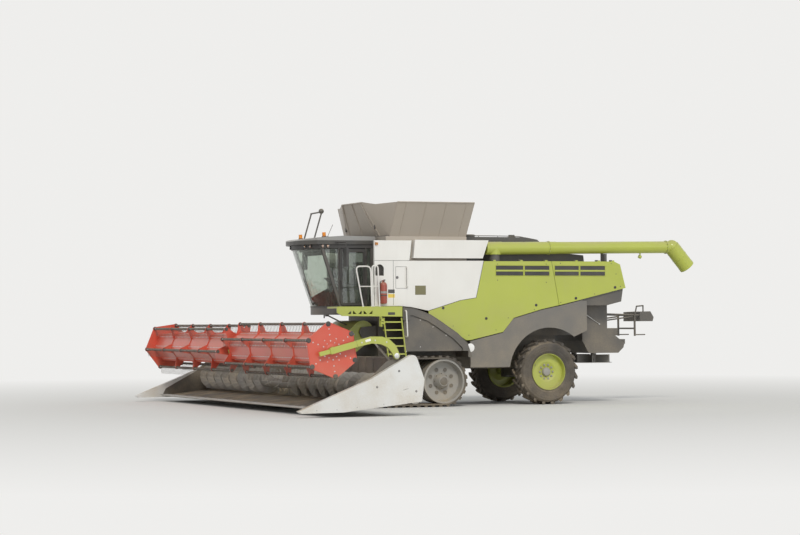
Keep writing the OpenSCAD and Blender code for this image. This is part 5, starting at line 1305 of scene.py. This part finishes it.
# %% Flange bolts, spout lip and lens of the tube lamp
TUBE_START, TUBE_LENGTH, LAMP_ALONG = at(-2.350, 1.370, 3.705), 4.750, 3.880
RISE, DROOP, LAMP_TILT = math.radians(0.66), math.radians(49), math.radians(70)
TUBE_WAY = np.array((-math.cos(RISE), 0, math.sin(RISE)))
SPOUT_WAY = np.array((-math.cos(DROOP), 0, -math.sin(DROOP)))
LAMP_WAY = np.array((math.sin(LAMP_TILT), 0, math.cos(LAMP_TILT)))
tube_bolts = Shape()
for along, radius in ((1.415, 0.150), (4.582, 0.148), (0.020, 0.144)):
    for a in np.radians(np.arange(0, 360, 30)):
        out = np.array((math.sin(RISE) * math.cos(a), math.sin(a), math.cos(RISE) * math.cos(a)))
        tube_bolts.bolts(0.009, 0.010, -TUBE_WAY,
                         TUBE_START + TUBE_WAY * (along - 0.016) + out * (radius + 0.002))
tube_bolts.build("tube_bolts", "unloading_tube", "steel", "lime_paint")
tube_end = TUBE_START + (-TUBE_LENGTH, 0, TUBE_LENGTH * math.sin(RISE))
lip = Shape()
lip.turned(tube_end + SPOUT_WAY * 0.560, SPOUT_WAY,
           [(0.1905, 0.0), (0.194, 0.003), (0.194, 0.074), (0.1875, 0.0765), (0.1835, 0.0765),
            (0.1825, 0.02), (0.1825, 0.0)], sides=40)
lip.turned(tube_end + SPOUT_WAY * 0.30, SPOUT_WAY,
           [(0.1905, 0), (0.1955, 0.004), (0.1955, 0.022), (0.1905, 0.026)], sides=40)
lip.build("spout_lip", "unloading_tube", "lime_paint")
lamp = TUBE_START + (-LAMP_ALONG - 0.020, 0, LAMP_ALONG * math.sin(RISE) - 0.142 - 0.095)
lens = Shape().turned(lamp - LAMP_WAY * 0.001, -LAMP_WAY,
                      [(0.040, -0.004), (0.040, 0.002), (0.030, 0.008), (0.010, 0.010)])
lens.build("tube_lamp_lens", "unloading_tube", "clear_lens")

# %% [markdown]
# ## Wheels and tracks
# The rims of the steered wheels are bolted to their hubs, and the tyres carry moulded rings
# on the side wall. The track wheels have bolted hub caps and holes that throw out the mud.
# The tread itself is in the CAD model, so only what sits on it is added here.

# %% Rim bolts, hub caps and side wall rings of the rear tyres
WHEEL_X, WHEEL_Y, WHEEL_Z = -3.700, 1.270, 0.775


def wheel_at(radius, a, y):
    """A place on a circle about the axis of a rear wheel; the angle starts forward."""
    return at(WHEEL_X + radius * math.cos(a), y, WHEEL_Z + radius * math.sin(a))


for side, side_name in SIDES:
    way = (0, side, 0)
    nuts, rings = Shape(), Shape()
    nuts.bolts(0.018, 0.022, way, *[wheel_at(0.17, a, (WHEEL_Y + 0.072) * side)
                                    for a in np.radians(np.arange(0, 360, 36))])
    nuts.turned(wheel_at(0, 0, (WHEEL_Y + 0.040) * side), way,
                [(0.105, 0), (0.105, 0.05), (0.088, 0.075), (0.040, 0.085), (0.0, 0.086)],
                sides=32)
    nuts.turned(at(WHEEL_X + 0.30, (WHEEL_Y + 0.078) * side, WHEEL_Z + 0.16), way,
                [(0.012, 0), (0.012, 0.03), (0.007, 0.035)], sides=10)
    nuts.build("rim_nuts_" + side_name, "wheel_" + side_name, "grey_paint", "lime_paint")
    for radius, bulge in ((0.500, 0.2310), (0.560, 0.2395), (0.615, 0.2400)):
        for out in (1, -1):
            rings.tube([wheel_at(radius, a, side * (WHEEL_Y + out * bulge))
                        for a in np.linspace(0, 2 * np.pi, 61)], 0.004, sides=5)
    rings.build("tyre_rings_" + side_name, "wheel_" + side_name, "tyre_rubber")

# %% Hub caps, bolts and mud holes of the track wheels
TRACK_Y, TRACK_WHEEL_X, TRACK_WHEEL_Z = 1.335, 0.930, 0.595
HUB_FACE = TRACK_Y + 0.2755
track_bits, holes = Shape(), Shape()
for side in (1, -1):
    way = (0, side, 0)
    for x in (-TRACK_WHEEL_X, TRACK_WHEEL_X):
        track_bits.turned(at(x, (HUB_FACE - 0.004) * side, TRACK_WHEEL_Z), way,
                          [(0.095, 0), (0.095, 0.008), (0.075, 0.020), (0.0, 0.022)], sides=28)
        for a in range(0, 360, 45):
            track_bits.bolts(0.014, 0.014, way, on_circle(
                x, TRACK_WHEEL_Z, 0.168, a, (TRACK_Y + 0.128) * side))
            hole = math.radians(a) + 0.39
            holes.turned(at(x + 0.285 * math.cos(hole), (TRACK_Y + 0.092) * side,
                            TRACK_WHEEL_Z + 0.285 * math.sin(hole)), way,
                         [(0.046, 0), (0.046, 0.006), (0.038, 0.008), (0.036, 0.002),
                          (0.0, 0.002)], sides=18)
track_bits.build("track_hub_caps", "machine", "dark_paint")
holes.build("track_wheel_holes", "machine", "dark_paint")

# %% [markdown]
# ## Platform, ladder and fenders
# The treads are punched sheet, whose raised buttons grip a boot. Hundreds of buttons are one
# piece, each a short cone of a few faces. The fenders have a rolled edge, and a brace stands
# under the cab. The rails of the platform are bent from one tube each: their path has arcs at
# the corners, which the CAD rails have as balls, so the bent ones stand in for them.

# %% Tread buttons of the platform and the ladder
DECK, LADDER_TOP, RUNG_STEP, LADDER_LEAN = 2.340, -0.350, 0.185, 0.110 / 0.885
button = Shape().turned((0, 0, 0), (0, 0, 1), [(0.011, 0), (0.008, 0.003), (0.004, 0.0035)],
                        sides=6)


def tread_places(xs, ys, z):
    """Places of the buttons of one tread, as rows and columns on a level plane."""
    x, y = np.meshgrid(xs, ys)
    return np.stack([x.ravel() + TRACK_MIDDLE, y.ravel(), np.full(x.size, z)], -1)


treads = Shape().repeat(button, tread_places(np.arange(0.20, 1.68, 0.060),
                                             np.arange(1.00, 1.72, 0.060), DECK - 0.0005))
treads.build("platform_treads", "machine", "lime_paint", smooth=30)
steps = Shape()
for i in range(5):
    z = LADDER_TOP - RUNG_STEP * i
    lean = (-0.265 - z) * LADDER_LEAN
    steps.repeat(button, tread_places(np.arange(0.235, 0.62, 0.042) - lean,
                                      (1.675, 1.715, 1.755), DECK + z + 0.0045))
    steps.bolts(0.009, 0.008, (0, 1, 0), *[at(x - lean, 1.785, DECK + z - 0.01)
                                           for x in (0.240, 0.600)])
steps.build("ladder_treads", "ladder", "lime_paint", smooth=30)

# %% Rolled edges and bolts of the track fenders, and the brace under the cab
FENDER = [(0.137, 2.026), (0.137, 2.314), (-0.150, 2.286), (-0.550, 2.144), (-0.780, 2.004),
          (-1.220, 1.714), (-1.480, 1.474)]
FENDER_BOLTS = [(-0.30, 2.02), (-0.62, 1.86), (0.05, 1.98), (-0.95, 1.66), (-0.30, 1.40),
                (0.05, 1.30)]
edges, heads = Shape(), Shape()
for side in (1, -1):
    corners = [at(x, 1.7475 * side, z) for x, z in FENDER]
    for a, b in zip(corners, corners[1:]):
        edges.line(0.007, a, b)
    heads.bolts(0.010, 0.008, (0, side, 0), *[at(x, 1.711 * side, z) for x, z in FENDER_BOLTS])
edges.build("fender_edges", "machine", "dark_paint")
heads.build("fender_bolts", "machine", "steel", smooth=25)
BRACE_Y = 0.27
brace = Shape()
brace.line(0.016, at(1.46, BRACE_Y, 2.150), at(0.94, BRACE_Y, 1.900), sides=10)
brace.block(at(1.42, BRACE_Y - 0.03, 2.120), at(1.50, BRACE_Y + 0.03, 2.161), 0.004)
brace.block(at(1.52, BRACE_Y - 0.015, 2.080), at(1.545, BRACE_Y + 0.015, 2.163), 0.004)
brace.build("cab_braces", "machine", "dark_paint")

# %% Bent handrails of the platform, the side panels and the fender
RAIL_R, RAIL_Y, RAIL_BAR_Z = 0.0165, 1.732, 2.800
RAIL_FEET = (1.125, 0.905, 0.870, 0.715)


def bent(points, radius):
    """A path through the points whose corners are round: each is a quadratic curve from the
    side before it to the side after it, that starts and ends a radius away."""
    path = [points[0]]
    for before, corner, after in zip(points, points[1:], points[2:]):
        enter = corner + (before - corner) * (radius / np.linalg.norm(before - corner))
        leave = corner + (after - corner) * (radius / np.linalg.norm(after - corner))
        for t in np.linspace(0, 1, 7):
            path.append(enter * (1 - t) ** 2 + corner * 2 * t * (1 - t) + leave * t ** 2)
    return path + [points[-1]]


def bent_rail(shape, radius, *places):
    """A round rail through places, with its corners bent to a radius."""
    shape.tube(bent([at(*p) for p in places], radius), RAIL_R, sides=12)


handrails = Shape()
front, middle_front, middle_back, back = RAIL_FEET
bent_rail(handrails, 0.11, (front, RAIL_Y, DECK), (1.300, RAIL_Y, 3.262), (0.935, RAIL_Y, 3.262),
          (middle_front, RAIL_Y, DECK))
bent_rail(handrails, 0.07, (middle_back, RAIL_Y, DECK), (0.900, RAIL_Y, 3.282),
          (0.755, RAIL_Y, 3.282), (back, RAIL_Y, DECK))
handrails.line(0.012, at(1.208, RAIL_Y, RAIL_BAR_Z), at(0.738, RAIL_Y, RAIL_BAR_Z))
for x in RAIL_FEET:
    handrails.turned(at(x, RAIL_Y, DECK - 0.001), (0, 0, 1),
                     [(0.030, 0), (0.030, 0.008), (0.018, 0.016)], sides=16)
for side in (1, -1):
    foot, out = (PANEL_Y - 0.002) * side, (PANEL_Y + 0.060) * side
    bent_rail(handrails, 0.03, (-0.030, foot, 2.790), (-0.030, out, 2.790), (-0.030, out, 3.240),
              (-0.030, foot, 3.240))
bent_rail(handrails, 0.04, (0.090, 1.748, 2.240), (0.090, 1.820, 2.240), (0.060, 1.820, 1.640),
          (0.060, 1.709, 1.640))
handrails.build("bent_handrails", "machine", "white_paint", replaces=("handrails",))

# %% Dark plates of painted shade in the cab: on its far side and on its door
# These dark plates stand for the dark seen through the lower glass of the cab: painted shade.
side_shade_plate = Shape().plate(outline_at(
    (0.62, 2.345), (1.370, 2.345), (1.435, 2.560), (1.300, 2.640), (1.000, 2.800),
    (0.62, 2.860)), -0.925, -0.905)
side_shade_plate.build("side_shade_plate", "machine", "black_plastic", bevel=0.005)
door_shade_plate = Shape().plate(outline_at(
    (0.827, 2.427), (1.318, 2.427), (1.342, 2.700), (0.827, 2.740)), 0.9545, 0.9610)
door_shade_plate.build("door_shade_plate", "cab_door", "black_plastic", bevel=0.003)

# %% Fire extinguisher: bottle, gauge, levers, hose and blank label
BOTTLE_X, BOTTLE_Y, BOTTLE_R, LABEL_Z, LABEL_H = 0.580, 1.632, 0.0845, 2.64, 0.05


def by_bottle(x, y, z):
    """A place measured from the axis of the bottle."""
    return at(BOTTLE_X + x, BOTTLE_Y + y, z)


bottle = Shape()
bottle.turned(by_bottle(0, 0, 2.400), (0, 0, 1), [
    (0.0, 0.0), (0.060, 0.0), (0.078, 0.010), (BOTTLE_R, 0.030), (BOTTLE_R, 0.425),
    (0.080, 0.455), (0.062, 0.485), (0.036, 0.500), (0.028, 0.512), (0.028, 0.546),
    (0.0, 0.548)], sides=40)
bottle.block(at(BOTTLE_X - 0.040, PANEL_Y - 0.001, 2.560), by_bottle(0.040, -0.060, 2.600), 0.004)
bottle.build("extinguisher_bottle", "machine", "bottle_red", replaces=("fire_extinguisher",))
fittings = Shape()
fittings.turned(by_bottle(0, 0, 2.58), (0, 0, 1), [
    (BOTTLE_R, 0), (0.0870, 0.002), (0.0870, 0.022), (BOTTLE_R, 0.024)], sides=28)
fittings.block(by_bottle(-0.012, 0.015, 2.925), by_bottle(0.012, 0.095, 2.937), 0.004)
fittings.block(by_bottle(-0.012, 0.015, 2.950), by_bottle(0.012, 0.105, 2.962), 0.004)
fittings.turned(by_bottle(0, 0.020, 2.915), (0, 1, 0), [(0.017, 0), (0.017, 0.010), (0.0, 0.011)],
                sides=16)
fittings.tube(curve_through(by_bottle(0.02, 0, 2.93), by_bottle(0.085, 0.02, 2.90),
                            by_bottle(0.095, 0.02, 2.75), by_bottle(0.090, 0.01, 2.55)), 0.009)
fittings.turned(by_bottle(0.090, 0.01, 2.55), (0, 0, -1), [(0.011, 0), (0.016, 0.07),
                                                           (0.0, 0.071)], sides=12)
fittings.build("extinguisher_fittings", "machine", "black_plastic")
low_row, inner_row = (np.array([by_bottle(r * math.cos(a), r * math.sin(a), LABEL_Z)
                                for a in np.radians(np.linspace(20, 160, 15))])
                      for r in (BOTTLE_R + 0.0015, BOTTLE_R - 0.0005))
rise = (0, 0, LABEL_H)
label = Shape().add(np.stack([low_row, low_row + rise, inner_row + rise, inner_row, low_row]),
                    grid_faces(5, 15, wrap=False))
label.build("extinguisher_label", "machine", "grey_paint", "white_paint")

# %% [markdown]
# ## Hydraulics of the lift and of the reel
# Hoses feed the lift cylinders and the reel from the body, over the side of the feeder
# house. Those that cross the lift pivot are clipped near it, on the feeder's side, where
# the bend stays inside one body.

# %% Hoses of the feeder house
FEEDER_Y = 0.781
pipes, sleeves = Shape(), Shape()
for y in (0.800, 0.824, 0.848):
    hose(pipes, sleeves, (1.00, y, 1.70), (1.20, y, 1.60), (1.50, y + 0.004, 1.36),
         (1.75, y, 1.15), (1.94, y - 0.01, 1.02), (1.99, y - 0.01, 0.88), radius=0.010)
hose(pipes, sleeves, (1.05, -0.81, 1.62), (1.30, -0.82, 1.46), (1.62, -0.82, 1.22),
     (1.93, -0.81, 1.00), radius=0.012)
pipes.build("feeder_hoses", "header", "hose_rubber")
for x, z in ((1.44, 1.375), (1.72, 1.140)):
    sleeves.block(at(x, FEEDER_Y, z), at(x + 0.04, 0.865, z + 0.025), 0.004)
sleeves.build("hose_fittings", "header", "bright_steel")

# %% Chain cover, ribs and bolts of the feeder house
cover = Shape().plate(outline_at(
    (0.95, 1.52), (1.90, 0.72), (2.02, 0.72), (2.02, 0.90), (1.12, 1.66)), -0.860, -FEEDER_Y)
cover.build("feeder_chain_cover", "header", "dark_paint", bevel=0.008)
ribs = Shape()
for x, z in ((1.30, 1.630), (1.55, 1.415)):
    ribs.line(0.014, at(x, -0.74, z), at(x, 0.74, z), sides=10)
for side in (1, -1):
    ribs.bolts(0.014, 0.010, (0, side, 0), *[at(x, 0.780 * side, z) for x, z in (
        (1.80, 0.60), (1.95, 0.55), (2.00, 0.85), (1.78, 1.05))])
ribs.build("feeder_ribs", "header", "lime_paint")

# %% Caps on the ends of the tine bars
caps = Shape()
for (side, _), (_, _, phase) in zip(SIDES, HALVES):
    for place in bar_places(phase, (REEL_END - 0.002) * side):
        caps.turned(place, (0, side, 0),
                    [(0.056, 0), (0.056, 0.006), (0.040, 0.012), (0.026, 0.012),
                     (0.026, 0.018), (0.0, 0.018)], sides=20)
caps.build("bar_end_caps", "reel", "black_plastic")

# %% [markdown]
# ## Rear of the machine
# The hood has pressed ribs and two rear lights. Below it the chopper has its row of guide
# vanes, a belt guard on each side and a gas strut that holds its flap.

# %% Rear lights and ribs of the hood
HOOD_FOOT_X, HOOD_FOOT_Z, HOOD_SLANT = -5.690, 2.760, 0.130 / 0.540
RIB_HEIGHTS, HOOD_EDGE, HOOD_TOP = (2.79, 3.03, 3.27), 1.42, 3.28


def hood_x(z):
    """Slanted rear face of the hood at a height."""
    return HOOD_FOOT_X + (z - HOOD_FOOT_Z) * HOOD_SLANT


lights = Shape()
for side in (1, -1):
    low, high = on_side(side, 1.185, 1.375)
    x = hood_x(2.96) - 0.001
    lights.block(at(x - 0.022, low, 2.905), at(x + 0.010, high, 3.015), 0.008,
                 turn=turn_about((0, 1, 0), -13.5))
lights.build("rear_light_lenses", "machine", "red_lens")
hood = Shape()
for y in (-0.9, -0.45, 0.0, 0.45, 0.9):
    hood.tube([at(hood_x(z) - 0.002, y, z) for z in RIB_HEIGHTS], 0.013)
for y in (-HOOD_EDGE, HOOD_EDGE):
    hood.tube([at(hood_x(z) - 0.001, y, z) for z in RIB_HEIGHTS], 0.008)
x = hood_x(HOOD_TOP) - 0.001
hood.line(0.008, at(x, -HOOD_EDGE, HOOD_TOP), at(x, HOOD_EDGE, HOOD_TOP), sides=10)
hood.build("hood_ribs", "machine", "dark_paint")

# %% Vanes, belt guards and struts of the chopper
GUARD_Y, STRUT_Y = 1.085, 1.122
vanes = Shape()
for y in np.arange(-0.98, 0.99, 0.14):
    vanes.block(at(-5.99, y - 0.004, 1.42), at(-5.72, y + 0.004, 1.53), 0.002,
                turn=turn_about((0, 0, 1), -22 * y), steps=1)
for side in (-1, 1):
    y = GUARD_Y * side
    vanes.block(at(-5.75, y - 0.012, 1.62), at(-5.15, y + 0.012, 1.80), 0.010)
    vanes.turned(at(-5.20, y, 1.70), (0, side, 0),
                 [(0.13, 0), (0.13, 0.010), (0.10, 0.012), (0.0, 0.012)], sides=28)
vanes.build("chopper_vanes", "machine", "dark_paint", smooth=30)
struts = Shape()
for side in (1, -1):
    high, low = at(-4.787, STRUT_Y * side, 2.189), at(-5.241, STRUT_Y * side, 1.899)
    struts.line(0.011, high, between(high, low, 0.55))
    struts.line(0.006, between(high, low, 0.5), low)
    for end in (high, low):
        struts.turned(end - (0, 0.024 * side, 0), (0, side, 0),
                      [(0.014, 0), (0.014, 0.034), (0.0, 0.036)], sides=12)
struts.build("chopper_struts", "machine", "bright_steel")
